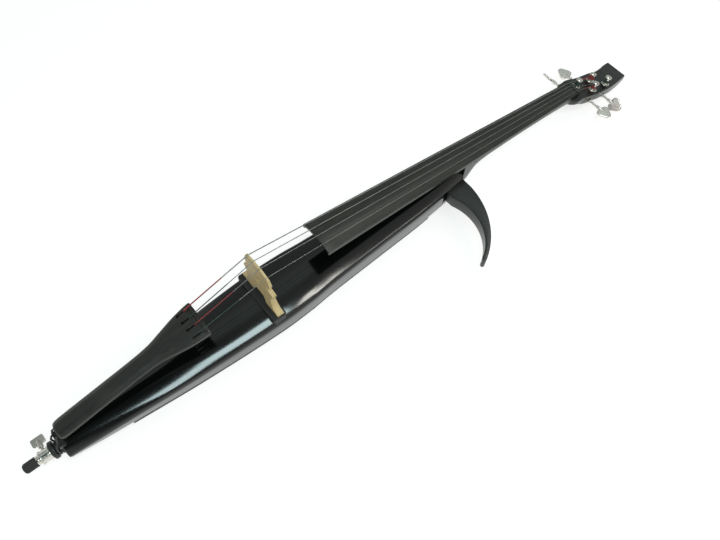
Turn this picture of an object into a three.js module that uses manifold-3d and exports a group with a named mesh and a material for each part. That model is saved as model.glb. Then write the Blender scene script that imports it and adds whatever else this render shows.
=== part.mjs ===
// An electric cello lying on its back: a slim solid body with a folding upper bout arm,
// a bolted-on back housing for the electronics, and worm-geared tuning machines.
// Millimetres, +Z out of the front, +X towards the head, +Y towards the lowest string.
// The origin is on the back's resting face, straight under the bridge.

import * as THREE from 'three';
import { mergeVertices } from 'three/addons/utils/BufferGeometryUtils.js';
import Module from 'manifold-3d';

const wasm = await Module();
wasm.setup();

// Driving dimensions
const stringLength = 690;            // bridge to nut
const bellyHeight = 78;              // belly under the bridge, above the resting face
const bridgeHeight = 89.8;           // middle strings above the belly
const nutDrop = 14.6;                // strings at the nut, below the belly's level at the bridge
const bodyTail = 345;                // bridge to the body's tail end
const bodyNeck = 392;                // bridge to the body's neck end
const bodyHalfWidth = 50.2;          // widest, just past the bridge
const bodySide = 53;                 // depth of the sides at the bridge
const boardOverhang = 101;           // bridge to the free end of the fingerboard
const tailpieceFront = 100;          // bridge to the tailpiece's front edge
const tailpieceShort = 9;            // tailpiece's tail end short of the body's
const tailpieceLength = bodyTail - tailpieceShort - tailpieceFront;
const tailpieceFretOffset = 104.4;   // bridge to the tailpiece fret
const afterLengthHeight = 58.9;      // strings over the tailpiece fret, above the belly
const headLength = 147;              // nut to the head's tip, along the head's face
const headTilt = THREE.MathUtils.degToRad(14.5);
const endpinDrop = 37;               // endpin axis, below the belly's level at the bridge
const rodRadius = 5;

// Clearances and cutting
const gap = 0.3;                     // between pieces that touch
const shaftGap = 0.06;               // radial, between a shaft and its bore
const overrun = 4;                   // how far a cutting solid passes the surface it cuts
const weld = 1e-4;                   // vertices closer than this are one
const roundSteps = 12;               // facets round a small turned piece
const fineSteps = 18;                // facets round a larger one

// String spacing and gauges, lowest string first
const bridgeSpan = 46;               // lowest to highest string at the bridge
const nutSpan = 22;
const tailSpan = 40.8;
const strings = [
  { name: 'c', spanShare: 1 / 2, radius: 0.85 },
  { name: 'g', spanShare: 1 / 6, radius: 0.65 },
  { name: 'd', spanShare: -1 / 6, radius: 0.5 },
  { name: 'a', spanShare: -1 / 2, radius: 0.4 },
];
for (const string of strings) {
  string.bridgeY = bridgeSpan * string.spanShare;
  string.nutY = nutSpan * string.spanShare;
  string.tailY = tailSpan * string.spanShare;
}
const bridgeCurve = 54.7;            // radius of the arc that the strings lie on at the bridge
const nutCurve = 62;                 // the same at the nut, and over the whole fingerboard
const stringSides = 6;

const part = new THREE.Group();
const head = new THREE.Group();

const finishes = {
  lacquer: { color: 0x0b0c0d, roughness: 0.08, metalness: 0 },
  satinBlack: { color: 0x1a1918, roughness: 0.45, metalness: 0 },
  ebony: { color: 0x211f1d, roughness: 0.42, metalness: 0 },
  maple: { color: 0xd3bd95, roughness: 0.55, metalness: 0 },
  mouldedBlack: { color: 0x17181a, roughness: 0.6, metalness: 0 },
  softBlack: { color: 0x222324, roughness: 0.9, metalness: 0 },
  chrome: { color: 0xd9dbdd, roughness: 0.12, metalness: 1 },
  satinSteel: { color: 0xb8b8b4, roughness: 0.35, metalness: 1 },
  brass: { color: 0xb9934a, roughness: 0.35, metalness: 1 },
  woundSteel: { color: 0x8f9296, roughness: 0.4, metalness: 1 },
  circuit: { color: 0x1f5a3a, roughness: 0.6, metalness: 0 },
  cell: { color: 0x55606b, roughness: 0.5, metalness: 0.2 },
};

// Solids

// Radius of a faceted bore in which a shaft turns freely
const bored = (radius, steps = roundSteps) => (radius + shaftGap) / Math.cos(Math.PI / steps);

function closedMesh(geometry) {
  const plain = geometry.index ? geometry.toNonIndexed() : geometry.clone();
  for (const name of Object.keys(plain.attributes)) {
    if (name !== 'position') plain.deleteAttribute(name);
  }
  return mergeVertices(plain, weld);
}

function solid(geometry) {
  const closed = closedMesh(geometry);
  return new wasm.Manifold(new wasm.Mesh({
    numProp: 3,
    vertProperties: new Float32Array(closed.attributes.position.array),
    triVerts: new Uint32Array(closed.index.array),
  }));
}

function geometryOf(body) {
  const mesh = body.getMesh();
  const geometry = new THREE.BufferGeometry();
  geometry.setAttribute('position', new THREE.BufferAttribute(new Float32Array(mesh.vertProperties), 3));
  geometry.setIndex(new THREE.BufferAttribute(new Uint32Array(mesh.triVerts), 1));
  return geometry;
}

function cutFrom(body, ...tools) {
  let left = solid(body);
  for (const tool of tools) left = left.subtract(solid(tool));
  return geometryOf(left);
}

function joined(...bodies) {
  let whole = solid(bodies[0]);
  for (const body of bodies.slice(1)) whole = whole.add(solid(body));
  return geometryOf(whole);
}

function shared(a, b) {
  return geometryOf(solid(a).intersect(solid(b)));
}

function moved(geometry, x, y, z) {
  return geometry.clone().translate(x, y, z);
}

function addPart(name, geometry, finish, group = part) {
  const material = new THREE.MeshStandardMaterial(finishes[finish]);
  const drawn = geometry.index ? geometry.toNonIndexed() : geometry.clone();
  drawn.deleteAttribute('normal');
  drawn.computeVertexNormals();
  const mesh = new THREE.Mesh(drawn, material);
  mesh.name = name;
  group.add(mesh);
  return mesh;
}

// Closed skin through rings of equally many points, each ring capped from its middle
function loft(rings) {
  const count = rings[0].length;
  const positions = [];
  const index = [];
  for (const ring of rings) for (const point of ring) positions.push(point.x, point.y, point.z);
  for (let r = 0; r + 1 < rings.length; r += 1) {
    for (let i = 0; i < count; i += 1) {
      const a = r * count + i;
      const b = r * count + (i + 1) % count;
      index.push(a, b, b + count, a, b + count, a + count);
    }
  }
  const capRing = (start, ring, flipped) => {
    const middle = ring.reduce((sum, point) => sum.add(point), new THREE.Vector3()).divideScalar(count);
    const centre = positions.length / 3;
    positions.push(middle.x, middle.y, middle.z);
    for (let i = 0; i < count; i += 1) {
      const pair = [start + i, start + (i + 1) % count];
      if (flipped) pair.reverse();
      index.push(centre, pair[0], pair[1]);
    }
  };
  capRing(0, rings[0], true);
  capRing((rings.length - 1) * count, rings[rings.length - 1], false);
  let volume = 0;
  const corner = (i) => new THREE.Vector3().fromArray(positions, index[i] * 3);
  for (let i = 0; i < index.length; i += 3) volume += corner(i).dot(corner(i + 1).cross(corner(i + 2)));
  if (volume < 0) index.reverse();
  const geometry = new THREE.BufferGeometry();
  geometry.setAttribute('position', new THREE.Float32BufferAttribute(positions, 3));
  geometry.setIndex(index);
  return geometry;
}

// Round tube through points, mitred at each one
function tubeThrough(points, radius, sides) {
  const rings = [];
  const tangentAt = (i) => {
    const before = points[Math.max(i - 1, 0)];
    const after = points[Math.min(i + 1, points.length - 1)];
    const into = points[i].clone().sub(before).normalize();
    const out = after.clone().sub(points[i]).normalize();
    return into.add(out).normalize();
  };
  let side = new THREE.Vector3(0, 1, 0);
  points.forEach((point, i) => {
    const tangent = tangentAt(i);
    side = side.clone().addScaledVector(tangent, -side.dot(tangent)).normalize();
    const up = tangent.clone().cross(side);
    const ring = [];
    for (let k = 0; k < sides; k += 1) {
      const turn = 2 * Math.PI * k / sides;
      ring.push(point.clone()
        .addScaledVector(side, radius * Math.cos(turn))
        .addScaledVector(up, radius * Math.sin(turn)));
    }
    rings.push(ring);
  });
  return loft(rings);
}

// Cylinder between two heights of one axis
function rod(axis, radius, from, to, steps = roundSteps) {
  const geometry = new THREE.CylinderGeometry(radius, radius, to - from, steps);
  geometry.translate(0, (from + to) / 2, 0);
  if (axis === 'x') geometry.rotateZ(-Math.PI / 2);
  if (axis === 'z') geometry.rotateX(Math.PI / 2);
  return geometry;
}

// Turned piece: profile points are [radius, height] and start and end on the axis, or close
function turned(axis, profile, steps = roundSteps) {
  const geometry = new THREE.LatheGeometry(profile.map(([r, h]) => new THREE.Vector2(r, h)), steps);
  if (axis === 'x') geometry.rotateZ(-Math.PI / 2);
  if (axis === 'z') geometry.rotateX(Math.PI / 2);
  return solidOutward(geometry);
}

function solidOutward(geometry) {
  const closed = closedMesh(geometry);
  const places = closed.attributes.position;
  const index = closed.index.array;
  const corner = (i) => new THREE.Vector3().fromBufferAttribute(places, index[i]);
  let volume = 0;
  for (let i = 0; i < index.length; i += 3) volume += corner(i).dot(corner(i + 1).cross(corner(i + 2)));
  if (volume < 0) closed.setIndex(Array.from(index).reverse());
  return closed;
}

function block(x0, x1, y0, y1, z0, z1) {
  const geometry = new THREE.BoxGeometry(x1 - x0, y1 - y0, z1 - z0);
  return geometry.translate((x0 + x1) / 2, (y0 + y1) / 2, (z0 + z1) / 2);
}

// The points of an outline, without the repeats where its pieces meet
function distinct(points) {
  const apart = (a, b) => a.distanceTo(b) > gap / 2;
  const kept = points.filter((point, i) => i === 0 || apart(point, points[i - 1]));
  if (!apart(kept[0], kept[kept.length - 1])) kept.pop();
  return kept;
}

// Flat outline raised along Z, its rims rounded inwards
function raised(shape, from, to, rim, curveSegments, rimSegments = 1) {
  const outline = new THREE.Shape(distinct(shape.getPoints(curveSegments)));
  const geometry = new THREE.ExtrudeGeometry(outline, {
    depth: to - from - 2 * rim,
    bevelEnabled: rim > 0,
    bevelThickness: rim,
    bevelSize: rim,
    bevelOffset: -rim,
    bevelSegments: rimSegments,
  });
  return geometry.translate(0, 0, from + rim);
}

// Smooth value through a table of [share along, share of the size]
function smooth(table, along) {
  const t = THREE.MathUtils.clamp(along, table[0][0], table[table.length - 1][0]);
  let i = 0;
  while (i + 2 < table.length && t > table[i + 1][0]) i += 1;
  const slope = (k) => {
    const a = table[Math.max(k - 1, 0)];
    const b = table[Math.min(k + 1, table.length - 1)];
    return (b[1] - a[1]) / (b[0] - a[0]);
  };
  const [x0, y0] = table[i];
  const [x1, y1] = table[i + 1];
  const span = x1 - x0;
  const u = (t - x0) / span;
  const u2 = u * u;
  const u3 = u2 * u;
  return (2 * u3 - 3 * u2 + 1) * y0 + (u3 - 2 * u2 + u) * span * slope(i)
    + (3 * u2 - 2 * u3) * y1 + (u3 - u2) * span * slope(i + 1);
}

// Body outline: half width, crown and underside along the body

const bodyLength = bodyTail + bodyNeck;
const bodyWidthShares = [[0, 0.49], [0.115, 0.635], [0.278, 0.85], [0.468, 1], [0.55, 0.975],
  [0.604, 0.91], [0.739, 0.815], [0.875, 0.725], [1, 0.56]];
const bellyRiseShares = [[0, -2.4], [0.468, 0], [1, 0.7]];
const bellyRise = 6;                 // unit of the belly's rise along the body
const bellyArch = 6;                 // how much higher the middle is than the shoulders
const bellySunk = 3.4;               // middle of the belly, under the top of the bridge base
const shoulder = 13;                 // width of the rolled shoulder
const shoulderFall = 11;
const sideDraft = 3;                 // how much narrower the underside is
const keelRound = 4;                 // lower edge
const endRound = 2.5;                // rounded rim of the two ends
const tailLift = 5;                  // how much the underside rises at the tail
const tailLiftLength = 88;
const bodyStations = 20;
const shoulderSteps = 4;
const archSteps = 3;
const housingDepth = bellyHeight - bodySide;   // resting face to the body's underside

const alongBody = (x) => (x + bodyTail) / bodyLength;
const bodyWidth = (x) => bodyHalfWidth * smooth(bodyWidthShares, alongBody(x));
const bellyCrown = (x) => bellyHeight - bellySunk + bellyRise * smooth(bellyRiseShares, alongBody(x));
const underside = (x) => {
  const share = THREE.MathUtils.clamp((x + bodyTail) / tailLiftLength, 0, 1);
  return housingDepth + tailLift * (1 - share) ** 2;
};

function bodyRing(x, grow) {
  const width = bodyWidth(x) + grow;
  const flat = width - shoulder;
  const crown = bellyCrown(x) + grow;
  const low = underside(x) - Math.min(grow, 0);
  const half = [];
  for (let i = 0; i < archSteps; i += 1) {
    const y = flat * i / archSteps;
    half.push([y, crown - bellyArch * (y / flat) ** 2]);
  }
  for (let i = 0; i <= shoulderSteps; i += 1) {
    const turn = Math.PI / 2 * i / shoulderSteps;
    half.push([flat + shoulder * Math.sin(turn), crown - bellyArch - shoulderFall * (1 - Math.cos(turn))]);
  }
  half.push([width - sideDraft, low + keelRound]);
  half.push([width - sideDraft - keelRound, low]);
  const right = half.map(([y, z]) => new THREE.Vector3(x, y, z));
  const left = half.slice(1).reverse().map(([y, z]) => new THREE.Vector3(x, -y, z));
  return [...right, ...left];
}

function bodySkin(grow) {
  const rings = [bodyRing(-bodyTail, grow - endRound)];
  const length = bodyLength - 2 * endRound;
  for (let i = 0; i <= bodyStations; i += 1) {
    rings.push(bodyRing(endRound - bodyTail + length * i / bodyStations, grow));
  }
  rings.push(bodyRing(bodyNeck, grow - endRound));
  return loft(rings);
}

// Endpin hardware: places along the axis, counted from the bridge towards the tail

const endpinZ = bellyHeight - endpinDrop;
const socketRadius = 10.5;
const socketWaist = 9.4;
const socketLength = 16.5;
const flangeRadius = 13.6;
const flangeThick = 6;
const washerRadius = 12.4;
const washerThick = 3.6;
const grooveRadius = 8.7;
const grooveWidth = 5.6;
const shankRadius = 8.5;
const shankLength = 24;
const ferruleLength = 4.6;
const ferruleRadius = 7.3;
const tipRadius = 7.6;
const tipRound = 4.4;
const tipLength = 19.5;              // rubber tip, to its face
const tubeRadius = 7.6;
const tubeLength = 330;
const rodTravel = 300;
const rodKept = 30;                  // rod still in the instrument when it is pulled right out
const rodInside = rodTravel + rodKept;
const washerEnd = bodyTail + gap + washerThick;
const grooveEnd = washerEnd + grooveWidth;
const flangeEnd = grooveEnd + flangeThick;
const socketStart = flangeEnd + gap;
const socketEnd = socketStart + socketLength;
const ferruleEnd = socketEnd + gap + ferruleLength;
const endpinReach = ferruleEnd + gap + tipLength;   // bridge to the rubber tip, pushed in
const rodBore = bored(rodRadius);
const shankEnd = bodyTail - shankLength;
const tubeStart = shankEnd - gap;
const tubeEnd = tubeStart - tubeLength;
const tipCore = 10;                  // rod end inside the rubber tip, short of its face
const screwOut = 24.5;               // middle of the thumb screw's wing, from the axis
const wingLength = 13;
const wingWidth = 19;
const wingThick = 4;
const wingRound = 2.5;
const screwHub = 3.8;
const screwHubLength = 5;
const thumbShank = 2.1;
const socketMiddle = (socketStart + socketEnd) / 2;

function makeEndpin() {
  const onAxis = (geometry) => moved(geometry, 0, 0, endpinZ);
  const collar = turned('x', [
    [rodBore, -flangeEnd], [flangeRadius - gap, -flangeEnd], [flangeRadius, gap - flangeEnd],
    [flangeRadius, -grooveEnd - gap], [flangeRadius - gap, -grooveEnd], [grooveRadius, -grooveEnd],
    [grooveRadius, -washerEnd - gap], [shankRadius, -washerEnd - gap], [shankRadius, -shankEnd],
    [rodBore, -shankEnd], [rodBore, -flangeEnd],
  ], fineSteps);
  addPart('endpin_collar', onAxis(collar), 'mouldedBlack');
  const washer = turned('x', [
    [bored(shankRadius), -washerEnd], [washerRadius - gap, -washerEnd], [washerRadius, gap - washerEnd],
    [washerRadius, -bodyTail - gap], [bored(shankRadius), -bodyTail - gap],
    [bored(shankRadius), -washerEnd],
  ], fineSteps);
  addPart('endpin_washer', onAxis(washer), 'mouldedBlack');
  const bead = (socketRadius - socketWaist);
  const socket = turned('x', [
    [rodBore, -socketEnd], [socketRadius - bead, -socketEnd], [socketRadius, bead - socketEnd],
    [socketRadius, -socketEnd + 3 * bead], [socketWaist, -socketEnd + 4 * bead],
    [socketWaist, -socketStart - 4 * bead], [socketRadius, -socketStart - 3 * bead],
    [socketRadius, -socketStart - bead], [socketRadius - bead, -socketStart], [rodBore, -socketStart],
    [rodBore, -socketEnd],
  ], fineSteps);
  const screwBore = moved(rod('y', bored(thumbShank), 0, socketRadius + overrun), -socketMiddle, 0, 0);
  addPart('endpin_socket', onAxis(cutFrom(socket, screwBore)), 'chrome');
  const tube = turned('x', [
    [rodBore, -tubeStart], [tubeRadius, -tubeStart], [tubeRadius, -tubeEnd], [rodBore, -tubeEnd],
    [rodBore, -tubeStart],
  ]);
  addPart('endpin_tube', onAxis(tube), 'satinSteel');
  const shaft = rod('x', rodRadius, tipCore - endpinReach, rodInside - socketEnd);
  addPart('endpin_rod', onAxis(shaft), 'satinSteel');
  const ferrule = turned('x', [
    [rodBore, -ferruleEnd], [ferruleRadius - gap, -ferruleEnd], [ferruleRadius, gap - ferruleEnd],
    [ferruleRadius, -socketEnd - 2 * gap], [ferruleRadius - gap, -socketEnd - gap],
    [rodBore, -socketEnd - gap], [rodBore, -ferruleEnd],
  ], fineSteps);
  addPart('endpin_ferrule', onAxis(ferrule), 'chrome');
  const tip = turned('x', [
    [0, -endpinReach], [tipRadius - tipRound, -endpinReach],
    [tipRadius - tipRound / 4, tipRound / 2 - endpinReach], [tipRadius, tipRound - endpinReach],
    [tipRadius, -ferruleEnd - gap], [rodBore, -ferruleEnd - gap], [rodBore, tipCore - endpinReach - gap],
    [0, tipCore - endpinReach - gap],
  ], fineSteps);
  addPart('endpin_tip', onAxis(tip), 'softBlack');
  const ears = roundedRectangle(wingWidth, wingLength, wingRound);
  const wing = raised(ears, -wingThick / 2, wingThick / 2, gap, 3);
  wing.translate(0, screwOut, 0);
  const hubStart = screwOut - wingLength / 2 - screwHubLength;
  const shank = rod('y', thumbShank, rodRadius + gap, hubStart + gap);
  const hub = rod('y', screwHub, hubStart, screwOut);
  addPart('thumb_screw', moved(joined(shank, hub, wing), -socketMiddle, 0, endpinZ), 'satinSteel');
}

function roundedRectangle(width, height, round) {
  const shape = new THREE.Shape();
  const x = width / 2 - round;
  const y = height / 2 - round;
  shape.absarc(x, y, round, 0, Math.PI / 2);
  shape.absarc(-x, y, round, Math.PI / 2, Math.PI);
  shape.absarc(-x, -y, round, Math.PI, 1.5 * Math.PI);
  shape.absarc(x, -y, round, 1.5 * Math.PI, 2 * Math.PI);
  return shape;
}

// Horn arm: a crescent between two arcs, folding on an upright pin at its root

const hornRadius = 144.1;            // outer arc
const hornInnerShare = 0.597;        // inner arc's radius, of the outer one's
const hornAlongShare = 0.175;        // inner arc's centre from the outer one's, of the same
const hornAcrossShare = 0.305;
const hornAxisY = -36.1;             // centre of the outer arc
const hornRootBack = 388.5;
const hornOuterStart = THREE.MathUtils.degToRad(-3.9);
const hornOuterEnd = THREE.MathUtils.degToRad(-62);
const hornInnerStart = THREE.MathUtils.degToRad(-62.5);
const hornInnerEnd = THREE.MathUtils.degToRad(23.3);
const hornTop = 66;
const hornThick = 25;
const hornRim = 1.6;
const hornSteps = 7;
const hornPinRadius = 3;
const hornPinBite = 9;               // pin in the body, under the arm
const hornPinCover = 2;              // the same above it, under the belly
const hornPinInset = 10;             // pin behind the root's front
const hornPinY = -24.5;
const hornRootStep = 1;
const hornRootInside = -16;
const hornRootRound = 5;
const pocketSlack = 7;               // room for the root to swing, at its front
const hornBottom = hornTop - hornThick;
const onArc = (arc, turn) => new THREE.Vector2(arc.x, arc.y)
  .add(new THREE.Vector2(Math.cos(turn), Math.sin(turn)).multiplyScalar(arc.radius));
const hornOuter = {
  x: hornRootBack - hornRadius * Math.cos(hornOuterStart),
  y: hornAxisY,
  radius: hornRadius,
};
const hornInner = {
  x: hornOuter.x + hornRadius * hornAlongShare,
  y: hornAxisY - hornRadius * hornAcrossShare,
  radius: hornRadius * hornInnerShare,
};
const hornInnerTop = onArc(hornInner, hornInnerEnd);
const hornRootFront = hornInnerTop.x - hornRootStep;
const hornPinX = hornRootFront + hornPinInset;
const pocketFront = hornRootFront - pocketSlack;
const rootSwing = hornRootRound
  + Math.hypot(hornPinInset - hornRootRound, hornRootInside - hornRootRound - hornPinY);
const pocketInside = hornPinY + rootSwing + gap;

function hornShape() {
  const round = hornRootRound;
  const shape = new THREE.Shape();
  const tipOuter = onArc(hornOuter, hornOuterEnd);
  const tipInner = onArc(hornInner, hornInnerStart);
  const tip = tipOuter.clone().add(tipInner).divideScalar(2);
  const tipTurn = tipOuter.clone().sub(tip).angle();
  shape.moveTo(hornInnerTop.x, hornInnerTop.y);
  shape.lineTo(hornRootFront, hornInnerTop.y + round);
  shape.absarc(hornRootFront + round, hornRootInside - round, round, Math.PI, Math.PI / 2, true);
  shape.absarc(hornRootBack - round, hornRootInside - round, round, Math.PI / 2, 0, true);
  shape.absarc(hornOuter.x, hornOuter.y, hornOuter.radius, hornOuterStart, hornOuterEnd, true);
  shape.absarc(tip.x, tip.y, tip.distanceTo(tipOuter), tipTurn, tipTurn - Math.PI, true);
  shape.absarc(hornInner.x, hornInner.y, hornInner.radius, hornInnerStart, hornInnerEnd, false);
  return shape;
}

function makeHorn() {
  const arm = raised(hornShape(), hornBottom, hornTop, hornRim, hornSteps);
  const bore = rod('z', bored(hornPinRadius), hornBottom - overrun, hornTop + overrun);
  addPart('horn_arm', cutFrom(arm, moved(bore, hornPinX, hornPinY, 0)), 'lacquer');
  const pin = rod('z', hornPinRadius, hornBottom - hornPinBite, hornTop + hornPinCover);
  addPart('horn_pin', moved(pin, hornPinX, hornPinY, 0), 'satinSteel');
}

// Controls: a panel let into the body's bass side, over a cavity that is open to the back

const panelStart = 60;
const panelLength = 116;
const panelHeight = 26;
const panelZ = 47;
const panelDepth = 3;                // recess at its shallower end
const panelThick = 2.5;
const panelLedge = 5;
const panelRound = 4;
const cavityInside = -24;
const cavityWall = 6;
const panelEnd = panelStart + panelLength;
const panelFace = bodyWidth(panelEnd) - panelDepth;
const recessFloor = panelFace - panelThick - gap;
const cavityTop = panelZ + panelHeight / 2 - panelLedge;
const volumeShare = 0.16;            // of the panel's length
const powerShare = 0.42;
const phonesShare = 0.64;
const outputShare = 0.86;
const controlShares = { volume: volumeShare, power: powerShare, phones: phonesShare, output: outputShare };
const controlX = (name) => panelStart + panelLength * controlShares[name];

const knobRadius = 8;
const knobHeight = 9;
const knobShaft = 3;
const potRadius = 7.6;
const potDepth = 9;
const potBush = 4.4;
const buttonRadius = 4;
const buttonTravel = 1.5;
const buttonProud = 3;
const buttonGuide = 6.4;
const buttonGuideDepth = 10;
const buttonFlange = 0.9;
const outputBore = 3.3;
const outputRadius = 6;
const outputDepth = 30;
const phonesBore = 1.8;
const phonesRadius = 4;
const phonesDepth = 16;
const jackWall = 2;
const jackFlange = 2.4;
const jackFlangeThick = 2;
const jackProud = 3.4;

function makeControls() {
  const plate = raised(roundedRectangle(panelLength, panelHeight, panelRound), 0, panelThick, 0, 4);
  plate.rotateX(-Math.PI / 2);
  plate.translate(panelStart + panelLength / 2, recessFloor + gap, panelZ);
  const at = (name, geometry) => moved(geometry, controlX(name), 0, panelZ);
  const hole = (name, radius) => at(name, rod('y', radius, recessFloor - overrun, panelFace + overrun));
  addPart('control_panel', cutFrom(plate, hole('volume', potBush + gap), hole('power', bored(buttonRadius)),
    hole('phones', phonesRadius + gap), hole('output', outputRadius + gap)), 'mouldedBlack');

  const behind = panelFace - panelThick - gap;
  const pot = turned('y', [
    [bored(knobShaft), behind - potDepth], [potRadius, behind - potDepth], [potRadius, behind],
    [potBush, behind], [potBush, panelFace + 2 * gap], [bored(knobShaft), panelFace + 2 * gap],
    [bored(knobShaft), behind - potDepth],
  ]);
  addPart('volume_control', at('volume', pot), 'satinSteel');
  const knobFoot = panelFace + 3 * gap;
  const knob = turned('y', [
    [0, behind - potDepth + gap], [knobShaft, behind - potDepth + gap], [knobShaft, knobFoot],
    [knobRadius, knobFoot], [knobRadius - 2 * gap, knobFoot + knobHeight - 2 * gap],
    [knobRadius - 4 * gap, knobFoot + knobHeight], [0, knobFoot + knobHeight],
  ], fineSteps);
  const knobFace = knobFoot + knobHeight;
  const mark = block(-gap, gap, knobFace - 2 * gap, knobFace + overrun, knobRadius / 3, knobRadius + overrun);
  addPart('volume_knob', at('volume', cutFrom(knob, mark)), 'mouldedBlack');

  const guide = turned('y', [
    [0, behind - buttonGuideDepth], [buttonGuide, behind - buttonGuideDepth], [buttonGuide, behind],
    [bored(buttonRadius + buttonFlange), behind],
    [bored(buttonRadius + buttonFlange), behind - buttonGuideDepth + jackWall],
    [0, behind - buttonGuideDepth + jackWall],
  ]);
  addPart('power_switch', at('power', guide), 'mouldedBlack');
  const button = turned('y', [
    [0, behind - buttonGuideDepth + jackWall + buttonTravel + gap],
    [buttonRadius + buttonFlange, behind - buttonGuideDepth + jackWall + buttonTravel + gap],
    [buttonRadius + buttonFlange, behind - gap], [buttonRadius, behind - gap],
    [buttonRadius, panelFace + buttonProud - gap], [buttonRadius - gap, panelFace + buttonProud],
    [0, panelFace + buttonProud],
  ]);
  addPart('power_button', at('power', button), 'softBlack');

  const jack = (bore, radius, depth) => turned('y', [
    [0, behind - depth], [radius, behind - depth], [radius, panelFace + gap],
    [radius + jackFlange, panelFace + gap], [radius + jackFlange, panelFace + jackFlangeThick],
    [radius, panelFace + jackProud], [bore, panelFace + jackProud],
    [bore, behind - depth + jackWall], [0, behind - depth + jackWall],
  ]);
  addPart('output_jack', at('output', jack(outputBore, outputRadius, outputDepth)), 'mouldedBlack');
  addPart('phones_jack', at('phones', jack(phonesBore, phonesRadius, phonesDepth)), 'mouldedBlack');
}

// Back housing: a tray that follows the body's outline, screwed to its underside

const housingInset = 11;
const housingTailInset = 90;         // from the body's tail end
const housingNeckInset = 70;
const housingStart = housingTailInset - bodyTail;
const housingEnd = bodyNeck - housingNeckInset;
const housingWall = 3;
const housingFloor = 3.4;
const housingStations = 8;
const housingEdge = 2.5;
const screwRadius = 1.7;
const screwHeadRadius = 3.4;
const screwHeadHeight = 2;
const screwSteps = 8;
const screwBite = 9;
const screwSink = 0.6;               // screw heads lie this far inside the resting face
const pillarRadius = 5.4;            // round a screw
const screwShares = [0, 1];           // of the housing's length, two screws at each
const lidWidth = 32;
const lidLow = 4.2;
const lidHigh = 22;
const lidThick = 2;
const lidBarrel = 1.7;
const lidPin = 0.8;
const lidPinBite = 2.2;
const lidAxisX = housingStart + lidBarrel;
const batteryLength = 48.5;
const batteryWidth = 26.5;
const batteryHeight = 17.5;
const batteryTerminal = 3.6;
const batteryPole = 3;
const batteryClear = batteryLength + batteryPole + pillarRadius;   // the tail pillars stand past the battery
const boardThick = 1.6;
const boardHeight = 11;
const boardHalf = 24;
const bossRadius = 3;
const partHeight = 4;                // taller components on the board
const chipShares = [[0.2, -0.4, 0.12, 0.3], [0.45, 0.3, 0.16, 0.35], [0.72, -0.3, 0.1, 0.5]];
const boardStart = panelStart + 2 * cavityWall;
const boardEnd = panelEnd - 2 * cavityWall;

const housingWidth = (x) => bodyWidth(x) - housingInset;
const housingTop = housingDepth - gap;

function screwPlaces() {
  const places = [];
  const inside = housingWall / 2 + pillarRadius;
  for (const share of screwShares) {
    const x = housingStart + inside + (housingEnd - housingStart - 2 * inside) * share;
    const lift = share === 0 ? batteryClear : 0;
    for (const side of [-1, 1]) places.push([x + lift, side * (housingWidth(x) - inside)]);
  }
  return places;
}

function housingRing(x, inset, low, high) {
  const width = housingWidth(x) - inset;
  const lowEdge = inset > 0 ? 0 : housingEdge;
  const half = [[0, low], [width - lowEdge, low]];
  if (lowEdge > 0) half.push([width, low + lowEdge]);
  half.push([width, high], [0, high]);
  const right = half.map(([y, z]) => new THREE.Vector3(x, y, z));
  const left = half.slice(1, -1).reverse().map(([y, z]) => new THREE.Vector3(x, -y, z));
  return [...right, ...left];
}

function housingSpan(from, to, inset, low, high) {
  const rings = [];
  for (let i = 0; i <= housingStations; i += 1) {
    rings.push(housingRing(from + (to - from) * i / housingStations, inset, low, high));
  }
  return loft(rings);
}

function boardCorners() {
  const inside = 2 * bossRadius;
  const across = [inside - boardHalf, boardHalf - inside];
  return [boardStart + inside, boardEnd - inside].flatMap((x) => across.map((y) => [x, y]));
}

function makeHousing() {
  const outer = housingSpan(housingStart, housingEnd, 0, 0, housingTop);
  const inner = housingSpan(housingStart + housingWall, housingEnd - housingWall, housingWall,
    housingFloor, housingTop + overrun);
  const rodsAt = (places, radius, low, high) => places.map(([x, y]) => (
    moved(rod('z', radius, low, high), x, y, 0)
  ));
  const upright = (radius, low, high) => rodsAt(screwPlaces(), radius, low, high);
  const pillars = upright(pillarRadius, housingFloor - gap, housingTop);
  const bosses = rodsAt(boardCorners(), bossRadius, housingFloor - gap, boardHeight - gap);
  const bores = upright(screwRadius + gap, -overrun, housingTop + overrun);
  const sinks = upright(screwHeadRadius + gap, -overrun, screwSink + screwHeadHeight + gap);
  const doorway = block(housingStart - overrun, housingStart + housingWall + overrun,
    -lidWidth / 2 - gap, lidWidth / 2 + gap, lidLow - lidBarrel - gap, lidHigh + gap);
  const pinReach = lidWidth / 2 + lidPinBite + gap;
  const pinBore = moved(rod('y', bored(lidPin), -pinReach, pinReach), lidAxisX, 0, lidLow);
  const tray = joined(cutFrom(outer, inner), ...pillars, ...bosses);
  addPart('back_housing', cutFrom(tray, ...bores, ...sinks, doorway, pinBore), 'mouldedBlack');
  const shank = rod('z', screwRadius, screwSink, housingDepth + screwBite, screwSteps);
  const cap = rod('z', screwHeadRadius, screwSink, screwSink + screwHeadHeight, screwSteps);
  screwPlaces().forEach(([x, y], i) => {
    addPart(`housing_screw_${i + 1}`, moved(joined(shank, cap), x, y, 0), 'satinSteel');
  });
}

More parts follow.
